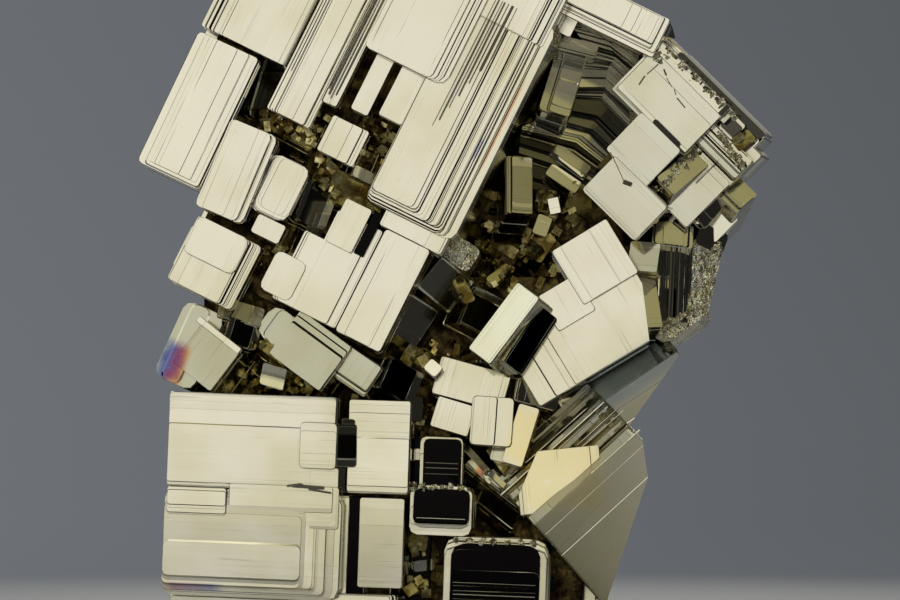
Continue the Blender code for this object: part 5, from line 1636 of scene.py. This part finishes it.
class PYRITE_OT_recess(GrowGroup, bpy.types.Operator):
    """Grow the stepped crystals inside the hollow"""
    bl_idname = "pyrite.recess"
    bl_label = "Crystals of the hollow"
    piece = "recess_crystals"
    crystals = RECESS_FACES
    along = "u"
    share = 2.5


class PYRITE_OT_sides(GrowGroup, bpy.types.Operator):
    """Grow the crystals of the sides and the top"""
    bl_idname = "pyrite.sides"
    bl_label = "Side crystals"
    piece = "side_crystals"
    crystals = SIDE_FACES


class PYRITE_OT_back(GrowGroup, bpy.types.Operator):
    """Grow the crystals of the back"""
    bl_idname = "pyrite.back"
    bl_label = "Back crystals"
    piece = "back_crystals"
    crystals = BACK_FACES


class PYRITE_OT_core(GrowGroup, bpy.types.Operator):
    """Grow the mass that the crystals stand on"""
    bl_idname = "pyrite.core"
    bl_label = "Core"
    piece = "core_crystals"
    crystals = CORE
    share = 0.0
    metal = staticmethod(cleft_metal)


class PYRITE_OT_breaks(GrowGroup, bpy.types.Operator):
    """Grow the crystals whose faces are broken away"""
    bl_idname = "pyrite.breaks"
    bl_label = "Broken crystals"
    piece = "broken_crystals"
    crystals = BROKEN_FACES
    share = 0.0
    metal = staticmethod(broken_metal)


class PYRITE_OT_bronze(GrowGroup, bpy.types.Operator):
    """Grow the stained and broken crystals of the clefts"""
    bl_idname = "pyrite.bronze"
    bl_label = "Bronze crystals"
    piece = "bronze_crystals"
    crystals = BRONZE_FACES
    share = 0.0
    metal = staticmethod(chip_metal)


class PYRITE_OT_wall(bpy.types.Operator):
    """Build the stepped wall of the hollow"""
    bl_idname = "pyrite.wall"
    bl_label = "Wall of the hollow"
    bl_options = {"REGISTER", "UNDO"}

    def execute(self, context):
        stepped_wall("hollow_wall", WALL, BANDS, pyrite_metal())
        return {"FINISHED"}


class PYRITE_OT_bits(bpy.types.Operator):
    """Strew broken bits in the clefts"""
    bl_idname = "pyrite.bits"
    bl_label = "Broken bits"
    bl_options = {"REGISTER", "UNDO"}

    def execute(self, context):
        strew_bits("cleft_bits", CLEFTS, ("core_crystals", "bronze_crystals"), chip_metal())
        return {"FINISHED"}


class PYRITE_OT_crumbs(bpy.types.Operator):
    """Strew pale crumbs along seams and broken edges"""
    bl_idname = "pyrite.crumbs"
    bl_label = "Seam crumbs"
    bl_options = {"REGISTER", "UNDO"}

    def execute(self, context):
        carriers = ("east_crystals", "bronze_crystals", "broken_crystals", "lower_crystals")
        strew_bits("seam_crumbs", CRUMBS, carriers, broken_metal())
        return {"FINISHED"}


class PYRITE_OT_stage(bpy.types.Operator):
    """Build the floor, the backdrop, the light and the camera"""
    bl_idname = "pyrite.stage"
    bl_label = "Studio"
    bl_options = {"REGISTER", "UNDO"}

    def execute(self, context):
        build_stage(context.scene.pyrite_stage)
        return {"FINISHED"}


STEPS = (PYRITE_OT_upper, PYRITE_OT_lower, PYRITE_OT_tilted, PYRITE_OT_east, PYRITE_OT_recess,
         PYRITE_OT_wall, PYRITE_OT_breaks, PYRITE_OT_bronze, PYRITE_OT_sides, PYRITE_OT_back,
         PYRITE_OT_core, PYRITE_OT_bits, PYRITE_OT_crumbs, PYRITE_OT_stage)


class PYRITE_PT_panel(bpy.types.Panel):
    """The cluster's settings and its operators"""
    bl_idname = "PYRITE_PT_panel"
    bl_label = "Pyrite cluster"
    bl_space_type = "VIEW_3D"
    bl_region_type = "UI"
    bl_category = "Pyrite"

    def draw(self, context):
        for group in (context.scene.pyrite_growth, context.scene.pyrite_metal,
                      context.scene.pyrite_stage):
            box = self.layout.box()
            for name in group.bl_rna.properties.keys():
                if name not in ("rna_type", "name"):
                    box.prop(group, name)
        for step in STEPS:
            self.layout.operator(step.bl_idname)


GROUPS = (PyriteGrowth, PyriteMetal, PyriteStage)
CLASSES = (*GROUPS, *STEPS, PYRITE_PT_panel)


def register():
    for item in CLASSES:
        bpy.utils.register_class(item)
    scene = bpy.types.Scene
    scene.pyrite_growth = bpy.props.PointerProperty(type=PyriteGrowth)
    scene.pyrite_metal = bpy.props.PointerProperty(type=PyriteMetal)
    scene.pyrite_stage = bpy.props.PointerProperty(type=PyriteStage)


def unregister():
    scene = bpy.types.Scene
    del scene.pyrite_growth, scene.pyrite_metal, scene.pyrite_stage
    for item in reversed(CLASSES):
        bpy.utils.unregister_class(item)


def main():
    """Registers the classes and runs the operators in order."""
    register()
    bpy.ops.pyrite.upper()
    bpy.ops.pyrite.lower()
    bpy.ops.pyrite.tilted()
    bpy.ops.pyrite.east()
    bpy.ops.pyrite.recess()
    bpy.ops.pyrite.wall()
    bpy.ops.pyrite.breaks()
    bpy.ops.pyrite.bronze()
    bpy.ops.pyrite.sides()
    bpy.ops.pyrite.back()
    bpy.ops.pyrite.core()
    bpy.ops.pyrite.bits()
    bpy.ops.pyrite.crumbs()
    bpy.ops.pyrite.stage()


if __name__ == "__main__":
    main()
